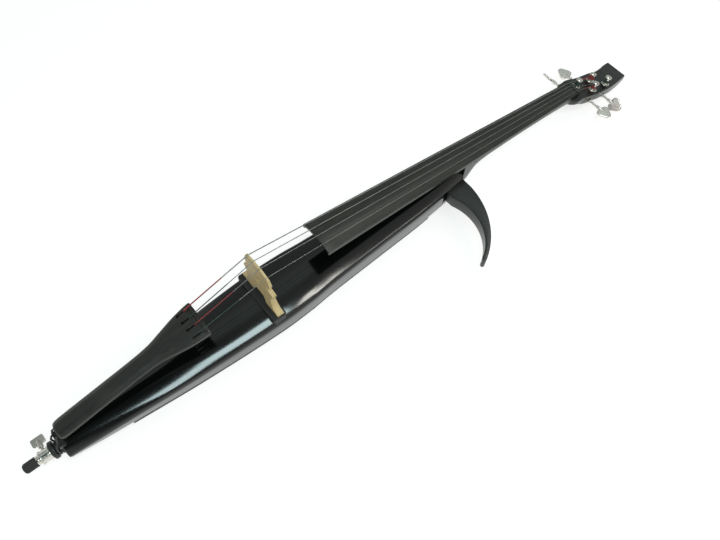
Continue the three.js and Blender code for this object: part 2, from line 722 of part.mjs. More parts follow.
function makeElectronics() {
  const plate = block(housingStart, housingStart + lidThick, -lidWidth / 2, lidWidth / 2, lidLow, lidHigh);
  const barrel = moved(rod('y', lidBarrel, -lidWidth / 2, lidWidth / 2), lidAxisX, 0, lidLow);
  const pinBore = moved(rod('y', bored(lidPin), -lidWidth, lidWidth), lidAxisX, 0, lidLow);
  addPart('battery_lid', cutFrom(joined(plate, barrel), pinBore), 'mouldedBlack');
  const reach = lidWidth / 2 + lidPinBite;
  addPart('battery_lid_pin', moved(rod('y', lidPin, -reach, reach), lidAxisX, 0, lidLow), 'satinSteel');

  const cellStart = housingStart + housingWall + lidBarrel;
  const cellLow = housingFloor + gap;
  const cellEnd = cellStart + batteryLength;
  const cellHalf = batteryWidth / 2;
  const cell = block(cellStart, cellEnd, -cellHalf, cellHalf, cellLow, cellLow + batteryHeight);
  const poles = [-1, 1].map((side) => moved(rod('x', batteryTerminal, cellEnd - gap, cellEnd + batteryPole),
    0, side * cellHalf / 2, cellLow + batteryHeight / 2));
  addPart('battery', joined(cell, ...poles), 'cell');

  const slab = block(boardStart, boardEnd, -boardHalf, boardHalf, boardHeight, boardHeight + boardThick);
  const chipTop = boardHeight + boardThick + partHeight;
  const chips = chipShares.map(([along, across, wide, deep]) => {
    const x = boardStart + (boardEnd - boardStart) * along;
    const y = boardHalf * across;
    const halfX = (boardEnd - boardStart) * wide / 2;
    const halfY = boardHalf * deep / 2;
    return block(x - halfX, x + halfX, y - halfY, y + halfY, boardHeight, chipTop);
  });
  addPart('preamp_board', joined(slab, ...chips), 'circuit');
}

function makeBody() {
  const reach = bodyHalfWidth + overrun;
  const onAxis = (geometry) => moved(geometry, 0, 0, endpinZ);
  const shankBore = onAxis(rod('x', shankRadius + gap, -bodyTail - overrun, -tubeStart, fineSteps));
  const tubeBore = onAxis(rod('x', tubeRadius + gap, -bodyTail, gap - tubeEnd));
  const hornPocket = block(pocketFront, bodyNeck + overrun, -reach, pocketInside,
    hornBottom - gap, hornTop + gap);
  const pinBore = rod('z', bored(hornPinRadius), hornBottom - hornPinBite - gap,
    hornTop + hornPinCover + gap);
  const recess = block(panelStart - gap, panelEnd + gap, recessFloor, reach,
    panelZ - panelHeight / 2 - gap, panelZ + panelHeight / 2 + gap);
  const window = block(panelStart + panelLedge, panelEnd - panelLedge, cavityInside, recessFloor + overrun,
    panelZ - panelHeight / 2 + panelLedge, cavityTop);
  const cavity = block(panelStart + panelLedge, panelEnd - panelLedge, cavityInside, recessFloor - cavityWall,
    housingDepth - overrun, cavityTop);
  const bores = screwPlaces().map(([x, y]) => moved(
    rod('z', screwRadius + gap, housingDepth - overrun, housingDepth + screwBite + gap), x, y, 0,
  ));
  addPart('body_shell', cutFrom(bodySkin(0), shankBore, tubeBore, hornPocket,
    moved(pinBore, hornPinX, hornPinY, 0), recess, window, cavity, saddleSeat(), ...bores), 'lacquer');
}

// Strings: an arc at the bridge, an arc at the nut, and straight runs between

const stringAt = (crown, curve, y) => crown - curve + Math.sqrt(curve ** 2 - y ** 2);
const crownOver = (level, curve, y) => level + curve - Math.sqrt(curve ** 2 - y ** 2);
const bridgeCrown = crownOver(bellyHeight + bridgeHeight, bridgeCurve, strings[1].bridgeY);
const nutCrown = crownOver(bellyHeight - nutDrop, nutCurve, strings[1].nutY);
const bridgeZ = (string) => stringAt(bridgeCrown, bridgeCurve, string.bridgeY);
const nutZ = (string) => stringAt(nutCrown, nutCurve, string.nutY);

// Fingerboard: one cylinder's top, tapering in width and thickness

const boardFreeHalf = 31.5;
const boardNutHalf = 16;
const boardFreeHeight = 55.5;        // edge of the free end above the belly
const boardEdge = 6.5;               // thickness at the edges
const nutAction = 1.2;               // strings over the board at the nut
const boardSteps = 8;
const boardScoop = 3.2;              // wall left where the overhanging end is hollowed
const boardCurve = nutCurve;
const arcFall = (half) => boardCurve - Math.sqrt(boardCurve ** 2 - half ** 2);
const boardNutEdge = nutCrown - nutAction - arcFall(boardNutHalf);
const alongBoard = (x) => (x - boardOverhang) / (stringLength - boardOverhang);
const boardHalfAt = (x) => THREE.MathUtils.lerp(boardFreeHalf, boardNutHalf, alongBoard(x));
const boardEdgeAt = (x) => THREE.MathUtils.lerp(bellyHeight + boardFreeHeight, boardNutEdge, alongBoard(x));
const boardUnderAt = (x) => boardEdgeAt(x) - boardEdge;

function boardRing(x) {
  const half = boardHalfAt(x);
  const ring = [];
  for (let i = 0; i <= boardSteps; i += 1) {
    const y = half * (2 * i / boardSteps - 1);
    ring.push(new THREE.Vector3(x, y, boardEdgeAt(x) + arcFall(half) - arcFall(y)));
  }
  ring.push(new THREE.Vector3(x, half, boardUnderAt(x)));
  ring.push(new THREE.Vector3(x, -half, boardUnderAt(x)));
  return ring;
}

function makeFingerboard() {
  const board = loft([boardRing(boardOverhang), boardRing(stringLength - gap)]);
  const scoopEnd = bodyNeck - 2 * overrun;
  const scoopRing = (x) => {
    const half = boardHalfAt(x) - boardScoop;
    const ring = [];
    for (let i = 0; i <= boardSteps; i += 1) {
      const y = half * (2 * i / boardSteps - 1);
      ring.push(new THREE.Vector3(x, y, boardEdgeAt(x) + arcFall(half) - arcFall(y) - boardScoop));
    }
    ring.push(new THREE.Vector3(x, half, boardUnderAt(x) - overrun));
    ring.push(new THREE.Vector3(x, -half, boardUnderAt(x) - overrun));
    return ring;
  };
  const scoop = loft([scoopRing(boardOverhang - overrun), scoopRing(scoopEnd)]);
  addPart('fingerboard', cutFrom(board, scoop), 'ebony');
}

// Neck and head: one loft, round behind the neck and boxy at the heel and head

const nutThick = 6;
const headStart = stringLength + nutThick;
const headHalf = 27;
const headThick = 21.5;
const heelDepth = 61;
const neckStart = bodyNeck + gap;
const neckRoom = 0.3;                // neck narrower than the board
const headFaceZ = boardUnderAt(stringLength) - gap;
const headTip = headStart + headLength * Math.cos(headTilt);
const headBassShares = [[0, 0.9], [0.04, 0.92], [0.09, 0.9], [0.17, 0.81], [0.26, 0.74], [0.39, 0.7],
  [0.5, 0.675], [0.63, 0.575], [0.77, 0.64], [0.86, 0.74], [1, 0.82]];
const headTrebleShares = [[0, 0.98], [0.09, 1.04], [0.2, 1.11], [0.32, 1.167], [0.44, 1.167], [0.57, 1.148],
  [0.71, 1.074], [0.85, 0.963], [1, 0.82]];
const neckDepthShares = [[0, 1], [0.03, 0.93], [0.055, 0.8], [0.095, 0.48], [0.13, 0.4], [0.21, 0.36],
  [0.5, 0.345], [0.9, 0.33], [1, 0.35]];
const headDepthShares = [[0, 1.2], [0.1, 1.12], [0.22, 1], [0.68, 0.98], [0.86, 0.86], [1, 0.66]];
const bassFlare = 8;                 // how far the neck's end reaches past the board, on each side
const trebleFlare = 11;
const neckFlareShares = [[0, 0], [0.935, 0], [0.955, 0.7], [0.975, 1], [1, 1]];
const neckSquareShares = [[0, 5], [0.08, 3.4], [0.2, 2.2], [0.94, 2.2], [1, 2.6]];
const headSquareShares = [[0, 3.4], [0.12, 7], [1, 9]];
const neckStationShares = [0, 0.03, 0.055, 0.075, 0.095, 0.12, 0.16, 0.24, 0.5, 0.75, 0.935, 0.955, 0.975, 1];
const headStationShares = [0, 0.05, 0.12, 0.2, 0.32, 0.45, 0.58, 0.7, 0.82, 0.92, 1];
const neckSteps = 10;
const headEdge = 0.8;

function neckSection(x, bass, treble, top, depth, squareness) {
  const square = 2 / squareness;
  const ring = [new THREE.Vector3(x, bass - headEdge, top), new THREE.Vector3(x, headEdge - treble, top)];
  for (let i = 0; i <= neckSteps; i += 1) {
    const turn = Math.PI * i / neckSteps;
    const across = Math.cos(turn);
    const y = -Math.sign(across) * (across > 0 ? treble : bass) * Math.abs(across) ** square;
    const z = top - headEdge - (depth - headEdge) * Math.sin(turn) ** square;
    ring.push(new THREE.Vector3(x, y, z));
  }
  return ring;
}

function neckRings() {
  const neck = neckStationShares.map((share) => {
    const x = neckStart + (stringLength - neckStart) * share;
    const half = boardHalfAt(x) - neckRoom;
    const flare = smooth(neckFlareShares, share);
    return neckSection(x, half + bassFlare * flare, half + trebleFlare * flare, boardUnderAt(x) - gap,
      heelDepth * smooth(neckDepthShares, share), smooth(neckSquareShares, share));
  });
  const face = headStationShares.map((share) => {
    const x = headStart + (headTip - headStart) * share;
    const bass = headHalf * smooth(headBassShares, share);
    const treble = headHalf * smooth(headTrebleShares, share);
    return neckSection(x, bass, treble,
      headFaceZ - (x - headStart) * Math.tan(headTilt),
      headThick * smooth(headDepthShares, share), smooth(headSquareShares, share));
  });
  return [...neck, ...face];
}

const headMatrix = new THREE.Matrix4().makeRotationY(headTilt).setPosition(headStart, 0, headFaceZ);
const onHeadFace = (geometry) => geometry.clone().applyMatrix4(headMatrix);

// Tuning machines, in the head's own axes: X down the face, Z out of it.
// A single-start worm turns a twenty-tooth wheel under each post.

const wheelTeeth = 20;
const gearModule = 0.7;
const wheelPitch = gearModule * wheelTeeth / 2;
const wormPitch = 3.5;
const gearCentres = wheelPitch + wormPitch;
const toothUp = 0.6;
const toothDown = 0.9;
const toothSlack = 0.3;              // room on each flank
const wormLead = Math.PI * gearModule;
const wormTurns = 3.25;
const wormStepsPerTurn = 8;
const wheelThick = 5;
const wheelLevel = -15;
const pocketRoom = 0.6;
const wormShaft = 2.4;
const wormJournal = 1.7;
const wormJournalLength = 2.5;
const wormLength = 11;
const bushRadius = 3.6;
const bushFlange = 4.4;
const bushFlangeThick = 1.4;
const bushLength = 3.4;
const keyShaftOut = 12;              // bare shaft between the head and the key
const keyHubLength = 7;
const keyHubRadius = 3.6;
const keyRadius = 14.4;
const keyLobe = 0.13;                // how deep the three lobes of the key are
const keyThick = 4.4;
const keyRim = 0.9;
const keySteps = 18;
const shaftSteps = 8;
const postShaft = 3.6;
const postFoot = 2.7;
const postRivet = 4.4;
const postRivetThick = 1.5;
const postDrum = 3.5;
const postFlange = 5.2;
const postCap = 6;
const capThick = 2;
const capDome = 1.4;
const drumStart = 3.6;
const drumLength = 10.4;
const collarRadius = 8;
const collarThick = 2;
const collarSleeve = 5.2;
const sleeveLength = 6;
const windTurns = 3;
const windSteps = 10;                // steps in one turn of a winding
const windGap = 0.5;                 // between turns
const windSeat = 0.25;               // winding over the drum

const machines = [
  { name: 'g', alongShare: 0.088, acrossShare: 0.093, side: 1, reach: 1, keyTurn: 0.5 },
  { name: 'a', alongShare: 0.263, acrossShare: -0.704, side: -1, reach: 1.5, keyTurn: 0.25 },
  { name: 'c', alongShare: 0.383, acrossShare: 0.056, side: 1, reach: 1, keyTurn: -0.2 },
  { name: 'd', alongShare: 0.541, acrossShare: -0.722, side: -1, reach: 1.1, keyTurn: 1.25 },
];
for (const machine of machines) {
  const widthShares = machine.side > 0 ? headBassShares : headTrebleShares;
  machine.x = headLength * machine.alongShare;
  machine.y = headHalf * machine.acrossShare;
  machine.wormX = machine.x - gearCentres;
  machine.edge = headHalf * smooth(widthShares, machine.wormX / headLength);
  machine.keyStart = machine.edge + keyShaftOut * machine.reach;
}

function gearOutline(turn) {
  const points = [];
  const share = (width, radius) => width / radius / 2;
  const pitchWidth = Math.PI * gearModule / 2 - toothSlack;
  for (let i = 0; i < wheelTeeth; i += 1) {
    const middle = Math.PI + 2 * Math.PI * (i + 0.5) / wheelTeeth + turn;
    const root = wheelPitch - toothDown;
    const tip = wheelPitch + toothUp;
    const tipHalf = share(pitchWidth - toothUp, tip);
    const valley = Math.PI / wheelTeeth;
    for (const [angle, radius] of [[-valley, root], [-tipHalf, tip], [tipHalf, tip]]) {
      points.push([radius * Math.cos(middle + angle), radius * Math.sin(middle + angle)]);
    }
  }
  return points;
}

function makeWheel(machine) {
  const twist = wormLead / (2 * Math.PI * wormPitch * wheelPitch);
  const ring = (z) => gearOutline(twist * z).map(([x, y]) => new THREE.Vector3(x, y, z));
  const blank = loft([ring(-wheelThick / 2), ring(wheelThick / 2)]);
  const wheel = cutFrom(blank, rod('z', bored(postFoot), -wheelThick, wheelThick));
  addPart(`string_wheel_${machine.name}`, moved(wheel, machine.x, machine.y, wheelLevel), 'brass', head);
}

function makePost(machine) {
  const foot = wheelLevel - wheelThick / 2 - gap;
  const seat = wheelLevel + wheelThick / 2 + gap;
  const drumEnd = drumStart + drumLength;
  const post = turned('z', [
    [0, foot - postRivetThick], [postRivet, foot - postRivetThick], [postRivet, foot], [postFoot, foot],
    [postFoot, seat], [postShaft, seat], [postShaft, collarThick + gap], [postFlange, collarThick + gap],
    [postFlange, drumStart], [postDrum, drumStart], [postDrum, drumEnd], [postCap, drumEnd],
    [postCap, drumEnd + capThick], [postDrum, drumEnd + capThick + capDome],
    [0, drumEnd + capThick + capDome],
  ]);
  addPart(`string_post_${machine.name}`, moved(post, machine.x, machine.y, 0), 'chrome', head);
}

// Turns of the string round its post, in the head's axes, from the tangent upwards
function windingPoints(machine) {
  const { radius } = strings.find((string) => string.name === machine.name);
  const around = postDrum + windSeat + radius;
  const pitch = 2 * radius + windGap;
  const low = drumStart + gap + radius;
  const points = [];
  const steps = windTurns * windSteps;
  for (let i = 0; i <= steps; i += 1) {
    const turn = Math.PI / 2 - 2 * Math.PI * i / windSteps;
    points.push(new THREE.Vector3(
      machine.x + around * Math.cos(turn), machine.y + around * Math.sin(turn), low + pitch * i / windSteps,
    ));
  }
  let least = Infinity;
  for (let i = 0; i + windSteps < points.length; i += 1) {
    least = Math.min(least, points[i].distanceTo(points[i + windSteps]) - 2 * radius);
  }
  console.log(`string_${machine.name}: least gap between turns ${least.toFixed(2)} mm`);
  return points;
}

function wormThread(machine) {
  const rings = [];
  const steps = wormTurns * wormStepsPerTurn;
  const root = wormPitch - toothDown - toothSlack / 2;
  const tip = wormPitch + toothUp;
  const pitchWidth = wormLead / 2 - toothSlack;
  const rootHalf = (pitchWidth + toothDown) / 2;
  const tipHalf = (pitchWidth - toothUp) / 2;
  for (let i = 0; i <= steps; i += 1) {
    const turns = i / wormStepsPerTurn - wormTurns / 2;
    const turn = 2 * Math.PI * turns;
    const place = (radius, shift) => new THREE.Vector3(
      machine.wormX + radius * Math.cos(turn), machine.y + wormLead * turns + shift,
      wheelLevel - radius * Math.sin(turn),
    );
    const sunk = root - toothSlack;
    rings.push([place(sunk, -rootHalf), place(tip, -tipHalf), place(tip, tipHalf), place(sunk, rootHalf)]);
  }
  return loft(rings);
}

// Rod on a worm's axis, between two distances out on its key's side
function wormRod(machine, radius, from, to, steps) {
  const low = Math.min(machine.side * from, machine.side * to);
  const high = Math.max(machine.side * from, machine.side * to);
  return moved(rod('y', radius, low, high, steps), machine.wormX, 0, wheelLevel);
}

function wormShaftOf(machine) {
  const { side } = machine;
  const end = machine.keyStart + keyHubLength / 2;
  const along = (radius, from, to) => wormRod(machine, radius, from, to, shaftSteps);
  const inner = side * machine.y - wormLength / 2;
  const outer = side * machine.y + wormLength / 2;
  const core = along(wormPitch - toothDown - toothSlack / 2, inner, outer);
  const shaft = along(wormShaft, outer - gap, end);
  const journal = along(wormJournal, inner - wormJournalLength, inner + gap);
  return [core, shaft, journal, wormThread(machine)];
}

// A three-lobed key, fixed to the end of its worm's shaft
function makeKey(machine) {
  const shape = new THREE.Shape();
  for (let i = 0; i < keySteps; i += 1) {
    const turn = 2 * Math.PI * i / keySteps;
    const radius = keyRadius * (1 - keyLobe + keyLobe * Math.cos(3 * turn));
    const place = [radius * Math.sin(turn), radius * Math.cos(turn)];
    if (i === 0) shape.moveTo(...place);
    else shape.lineTo(...place);
  }
  shape.closePath();
  const hubStart = machine.keyStart;
  const plate = raised(shape, -keyThick / 2, keyThick / 2, keyRim, 1);
  plate.translate(0, hubStart + keyHubLength / 2 + keyRadius, 0);
  const hub = turned('y', [
    [0, hubStart], [keyHubRadius - keyRim, hubStart], [keyHubRadius, hubStart + keyRim],
    [keyHubRadius, hubStart + keyHubLength], [wormShaft, hubStart + keyHubLength + keyRadius / 2],
    [0, hubStart + keyHubLength + keyRadius / 2],
  ], shaftSteps);
  const key = joined(plate, hub);
  key.rotateY(machine.keyTurn);
  if (machine.side < 0) key.rotateZ(Math.PI);
  const whole = joined(moved(key, machine.wormX, 0, wheelLevel), ...wormShaftOf(machine));
  addPart(`tuning_key_${machine.name}`, whole, 'satinSteel', head);
}

function makeBushings(machine) {
  const collar = turned('z', [
    [bored(postShaft), -sleeveLength], [collarSleeve, -sleeveLength], [collarSleeve, gap],
    [collarRadius, gap], [collarRadius, collarThick / 2], [postFlange + gap, collarThick],
    [bored(postShaft), collarThick], [bored(postShaft), -sleeveLength],
  ]);
  addPart(`post_collar_${machine.name}`, moved(collar, machine.x, machine.y, 0), 'chrome', head);
  const bush = turned('y', [
    [bored(wormShaft), -bushLength], [bushRadius, -bushLength], [bushRadius, 0], [bushFlange, 0],
    [bushFlange, bushFlangeThick], [bored(wormShaft), bushFlangeThick], [bored(wormShaft), -bushLength],
  ]);
  if (machine.side < 0) bush.rotateZ(Math.PI);
  const seat = machine.side * (machine.edge + gap);
  addPart(`key_bushing_${machine.name}`, moved(bush, machine.wormX, seat, wheelLevel), 'chrome', head);
}

function headCuts() {
  const cuts = [];
  const below = -2 * headThick;
  for (const machine of machines) {
    const top = wheelLevel + wheelThick / 2 + pocketRoom;
    cuts.push(moved(rod('z', wheelPitch + toothUp + pocketRoom, below, top), machine.x, machine.y, 0));
    cuts.push(moved(rod('z', bored(collarSleeve), -sleeveLength - gap, overrun), machine.x, machine.y, 0));
    cuts.push(moved(rod('z', postShaft + gap, top - gap, overrun), machine.x, machine.y, 0));
    const room = wormPitch + toothUp + pocketRoom;
    const halfLength = wormLength / 2 + pocketRoom;
    cuts.push(block(machine.wormX - room, machine.wormX + room,
      machine.y - halfLength, machine.y + halfLength, below, wheelLevel + room));
    const bore = (radius, from, to) => wormRod(machine, radius, from, to, roundSteps);
    const middle = machine.side * machine.y;
    cuts.push(bore(wormShaft + gap, middle, machine.edge + overrun));
    cuts.push(bore(bored(bushRadius), machine.edge - bushLength - gap, machine.edge + overrun));
    cuts.push(bore(bushFlange + gap, machine.edge, machine.edge + overrun));
    cuts.push(bore(bored(wormJournal), middle - wormLength / 2 - wormJournalLength - gap, middle));
  }
  return cuts.map((cut) => onHeadFace(cut));
}

function makeNeck() {
  const whole = loft(neckRings());
  addPart('neck', cutFrom(whole, ...headCuts()), 'satinBlack');
}

// Nut, with a groove for each string

const nutHalf = boardNutHalf;

function crossProfile(half, low, topAt, steps, from, to) {
  const shape = new THREE.Shape();
  shape.moveTo(-half, low);
  shape.lineTo(half, low);
  for (let i = 0; i <= steps; i += 1) {
    const y = half * (1 - 2 * i / steps);
    shape.lineTo(y, topAt(y));
  }
  return standing(new THREE.ExtrudeGeometry(shape, { depth: to - from, bevelEnabled: false }), from);
}

// Turns a flat drawing of Y and Z, raised along Z, to stand across the instrument
function standing(geometry, x) {
  const basis = new THREE.Matrix4().makeBasis(
    new THREE.Vector3(0, 1, 0), new THREE.Vector3(0, 0, 1), new THREE.Vector3(1, 0, 0),
  );
  return geometry.applyMatrix4(basis).translate(x, 0, 0);
}

function stringGrooves() {
  return strings.map((string) => tubeThrough(stringPoints(string), string.radius + gap / 2, stringSides));
}

function makeNut() {
  const low = headFaceZ + gap;
  const crown = (y) => stringAt(nutCrown, nutCurve, y);
  const blank = crossProfile(nutHalf, low, crown, boardSteps, stringLength, headStart - gap);
  addPart('nut', cutFrom(blank, ...stringGrooves()), 'ebony');
}

// Bridge: the half outline is in shares of the foot's reach and of the height

const bridgeFoot = 45.7;
const bridgeThick = 11.6;
const bridgeTopThick = 3.2;
const bridgeTopHalf = 27;
const bridgeOutlineShares = [
  [[1, 0.035]],
  [[0.82, 0.05], [0.74, 0.13]],
  [[0.67, 0.2], [0.65, 0.33]],
  [[0.66, 0.42], [0.78, 0.48]],
  [[0.82, 0.53], [0.72, 0.57]],
  [[0.6, 0.58], [0.52, 0.6]],
  [[0.46, 0.63], [0.54, 0.66]],
  [[0.7, 0.7], [0.66, 0.8]],
];
const bridgeArchShares = [[0.4, 0], [0.33, 0.02], [0.3, 0.08], [0.22, 0.17], [0, 0.18]];
const heartShares = [[0, 0.4], [0.09, 0.46], [0.13, 0.52], [0.1, 0.585], [0.045, 0.58], [0, 0.54]];
const bridgeSteps = 4;

function bridgeShape() {
  const foot = bridgeFoot;
  const tall = bridgeCrown - bellyHeight;
  const shape = new THREE.Shape();
  const place = ([across, up]) => [foot * across, bellyHeight + gap + tall * up];
  shape.moveTo(...place([bridgeArchShares[0][0], 0]));
  shape.lineTo(...place([1, 0]));
  const draw = (step, mirror) => {
    const points = step.map((share) => place([mirror * share[0], share[1]]));
    if (points.length === 1) shape.lineTo(...points[0]);
    else shape.quadraticCurveTo(...points[0], ...points[1]);
  };
  for (const step of bridgeOutlineShares) draw(step, 1);
  for (let i = 0; i <= 2 * bridgeSteps; i += 1) {
    const y = bridgeTopHalf * (1 - i / bridgeSteps);
    shape.lineTo(y, stringAt(bridgeCrown, bridgeCurve, y));
  }
  const back = [...bridgeOutlineShares].reverse();
  shape.lineTo(...place([-back[0][1][0], back[0][1][1]]));
  for (let i = 0; i < back.length; i += 1) {
    const control = back[i].length === 2 ? back[i][0] : null;
    const target = i + 1 < back.length ? back[i + 1][back[i + 1].length - 1] : [1, 0];
    const end = place([-target[0], target[1]]);
    if (control) shape.quadraticCurveTo(...place([-control[0], control[1]]), ...end);
    else shape.lineTo(...end);
  }
  shape.lineTo(...place([-bridgeArchShares[0][0], 0]));
  const rise = bridgeArchShares.map(([across, up]) => [-across, up]);
  const fall = [...bridgeArchShares].reverse().slice(1);
  for (const share of [...rise.slice(1), ...fall.slice(0, -1)]) shape.lineTo(...place(share));
  const heart = new THREE.Path();
  const right = heartShares.map((share) => place(share));
  const left = [...heartShares].reverse().slice(1, -1).map(([across, up]) => place([-across, up]));
  [...right, ...left].forEach((point, i) => (i === 0 ? heart.moveTo(...point) : heart.lineTo(...point)));
  heart.closePath();
  shape.holes.push(heart);
  return shape;
}

function makeBridge() {
  const flat = new THREE.ExtrudeGeometry(bridgeShape(), {
    depth: bridgeThick, bevelEnabled: false, curveSegments: bridgeSteps,
  });
  const stood = standing(flat, -bridgeThick / 2);
  const taper = new THREE.Shape();
  const low = bellyHeight - overrun;
  const high = bridgeCrown + overrun;
  taper.moveTo(-bridgeThick / 2, low);
  taper.lineTo(bridgeThick / 2, low);
  taper.lineTo(bridgeTopThick / 2, high);
  taper.lineTo(-bridgeTopThick / 2, high);
  const wedge = new THREE.ExtrudeGeometry(taper, { depth: 2 * bodyHalfWidth, bevelEnabled: false });
  wedge.rotateX(Math.PI / 2);
  wedge.translate(0, bodyHalfWidth, 0);
  addPart('bridge', cutFrom(shared(stood, wedge), ...stringGrooves()), 'maple');
}

// Black base under the bridge, which holds the pickup and lies on the belly

const baseHalf = 48.4;
const baseBack = 15;
const baseFront = 9;
const baseRound = 5;
const baseRim = 0.8;

function makeBridgeBase() {
  const plan = roundedRectangle(baseBack + baseFront, 2 * baseHalf, baseRound);
  const lowest = bellyHeight - bellySunk - bellyArch - shoulderFall;
  const tall = raised(plan, lowest, bellyHeight, baseRim, 3);
  tall.translate((baseFront - baseBack) / 2, 0, 0);
  addPart('bridge_base', cutFrom(tall, bodySkin(gap)), 'mouldedBlack');
}

// Tailpiece: slim at the tail, flaring towards the strings, with a low ridge

const tailpieceHalf = 29.5;
const tailpieceThick = 9;
const tailpieceRidge = 3;
const ridgeShare = 0.93;              // of the ridge's rise, halfway to the edge
const tailpieceBevel = 2.2;
const tailpieceRear = 10.5;          // its top at the tail, above the belly's level at the bridge
const tailpieceFrontTop = 55.6;
const tailpieceWidthShares = [[0, 0.39], [0.02, 0.455], [0.06, 0.48], [0.3, 0.48], [0.58, 0.485],
  [0.68, 0.545], [0.78, 0.72], [0.87, 0.875], [0.95, 0.96], [1, 0.985]];
const tailpieceStationShares = [0, 0.02, 0.06, 0.3, 0.58, 0.63, 0.68, 0.73, 0.78, 0.83, 0.88, 0.94, 0.985, 1];
const keyholeRadius = 2.3;
const keyholeWidth = 2.2;
const keyholeBack = 24;              // from the front edge
const keyholeFront = 10;
const fretHalf = 25;
const fretThick = 3;
const fretSunk = 1.4;
const fretFlat = 4;                  // how square the fret's crown is
const ballRadius = 2;
const ballLength = 4;
const gutRadius = 1.4;
const gutSpread = 6;
const gutSides = 6;
const gutTurnSteps = 4;
const tailpieceTail = tailpieceFront + tailpieceLength;
const tailpieceTopAt = (x) => bellyHeight + THREE.MathUtils.mapLinear(
  x, -tailpieceTail, -tailpieceFront, tailpieceRear, tailpieceFrontTop,
);
const fretTop = bellyHeight + afterLengthHeight;

function tailpieceRing(share) {
  const x = tailpieceLength * share - tailpieceTail;
  const ends = Math.min(share, 1 - share) < tailpieceStationShares[1] ? tailpieceBevel / 2 : 0;
  const half = tailpieceHalf * smooth(tailpieceWidthShares, share);
  const top = tailpieceTopAt(x) - ends;
  const low = tailpieceTopAt(x) - tailpieceThick + ends;
  const side = [[0, top + tailpieceRidge], [half / 2, top + tailpieceRidge * ridgeShare],
    [half - tailpieceBevel, top], [half, top - tailpieceBevel], [half, low + tailpieceBevel / 2],
    [half - tailpieceBevel, low], [0, low]];
  const right = side.map(([y, z]) => new THREE.Vector3(x, y, z));
  const left = side.slice(1, -1).reverse().map(([y, z]) => new THREE.Vector3(x, -y, z));
  return [...right, ...left];
}

function keyhole(string) {
  const back = -tailpieceFront - keyholeBack;
  const front = -tailpieceFront - keyholeFront;
  const low = bellyHeight;
  const high = fretTop + overrun;
  const round = moved(rod('z', keyholeRadius, low, high), back, string.tailY, 0);
  const half = keyholeWidth / 2;
  const slot = block(back, front, string.tailY - half, string.tailY + half, low, high);
  return [round, slot];
}

function makeTailpiece() {
  const blank = loft(tailpieceStationShares.map((share) => tailpieceRing(share)));
  const seatLow = tailpieceTopAt(-tailpieceFretOffset) - fretSunk;
  const seat = block(-tailpieceFretOffset - fretThick / 2 - gap, -tailpieceFretOffset + fretThick / 2 + gap,
    -fretHalf - gap, fretHalf + gap, seatLow, fretTop + overrun);
  const gutHoles = [-1, 1].map((side) => tubeThrough(gutEntry(side), gutRadius + gap, gutSides));
  const keyholes = strings.flatMap((string) => keyhole(string));
  addPart('tailpiece', cutFrom(blank, seat, ...gutHoles, ...keyholes), 'ebony');
  const fretLow = seatLow + gap;
  const fretCrown = (y) => fretTop + strings[3].radius - fretSunk * (y / fretHalf) ** fretFlat;
  const blankFret = crossProfile(fretHalf, fretLow, fretCrown, boardSteps,
    -tailpieceFretOffset - fretThick / 2, -tailpieceFretOffset + fretThick / 2);
  addPart('tailpiece_fret', cutFrom(blankFret, ...stringGrooves()), 'ebony');
}

// Saddle and tailgut: the gut leaves the tailpiece, crosses the saddle and loops round the collar

const saddleHalf = 13;
const saddleLength = 8;
const saddleHeight = 4;
const saddleProud = 1.6;             // how far it stands out past the body's end
const saddleRound = 2;
const gutLoopX = -(washerEnd + grooveWidth / 2);
const gutLoopRadius = grooveRadius + gap + gutRadius;
const gutHoleDepth = 14;
const saddleTop = bellyCrown(-bodyTail) + saddleHeight;
const saddleFoot = saddleTop - 2 * saddleHeight;

function gutEntry(side) {
  const deep = gutHoleDepth - tailpieceTail;
  const out = -tailpieceTail - overrun;
  const at = (x) => new THREE.Vector3(x, side * gutSpread, tailpieceTopAt(x) - tailpieceThick / 2 + gap);
  return [at(deep), at(out)];
}

function gutPoints() {
  const points = [];
  const entry = gutEntry(1);
  const start = entry[0].clone().setX(entry[0].x - gap);
  points.push(start.setZ(tailpieceTopAt(start.x) - tailpieceThick / 2 + gap));
  points.push(entry[1]);
  const lip = -bodyTail - saddleProud;
  const turnRadius = saddleRound + gap + gutRadius;
  for (let i = 0; i <= gutTurnSteps; i += 1) {
    const turn = Math.PI / 2 * (1 + i / gutTurnSteps);
    points.push(new THREE.Vector3(lip + saddleRound + turnRadius * Math.cos(turn), gutSpread + saddleRound,
      saddleTop - saddleRound + turnRadius * Math.sin(turn)));
  }
  points.push(new THREE.Vector3(gutLoopX, gutLoopRadius, endpinZ + washerRadius));
  points.push(new THREE.Vector3(gutLoopX, gutLoopRadius, endpinZ));
  const half = points.map((point) => point.clone());
  for (let i = 1; i <= gutSides; i += 1) {
    const turn = Math.PI * i / gutSides / 2;
    const down = endpinZ - gutLoopRadius * Math.sin(turn);
    half.push(new THREE.Vector3(gutLoopX, gutLoopRadius * Math.cos(turn), down));
  }
  const mirrored = half.slice(0, -1).reverse().map((point) => point.clone().setY(-point.y));
  return [...half, ...mirrored];
}

function saddleSeat() {
  return block(-bodyTail - overrun, saddleLength - bodyTail + gap, -saddleHalf - gap, saddleHalf + gap,
    saddleFoot - gap, saddleTop + overrun);
}

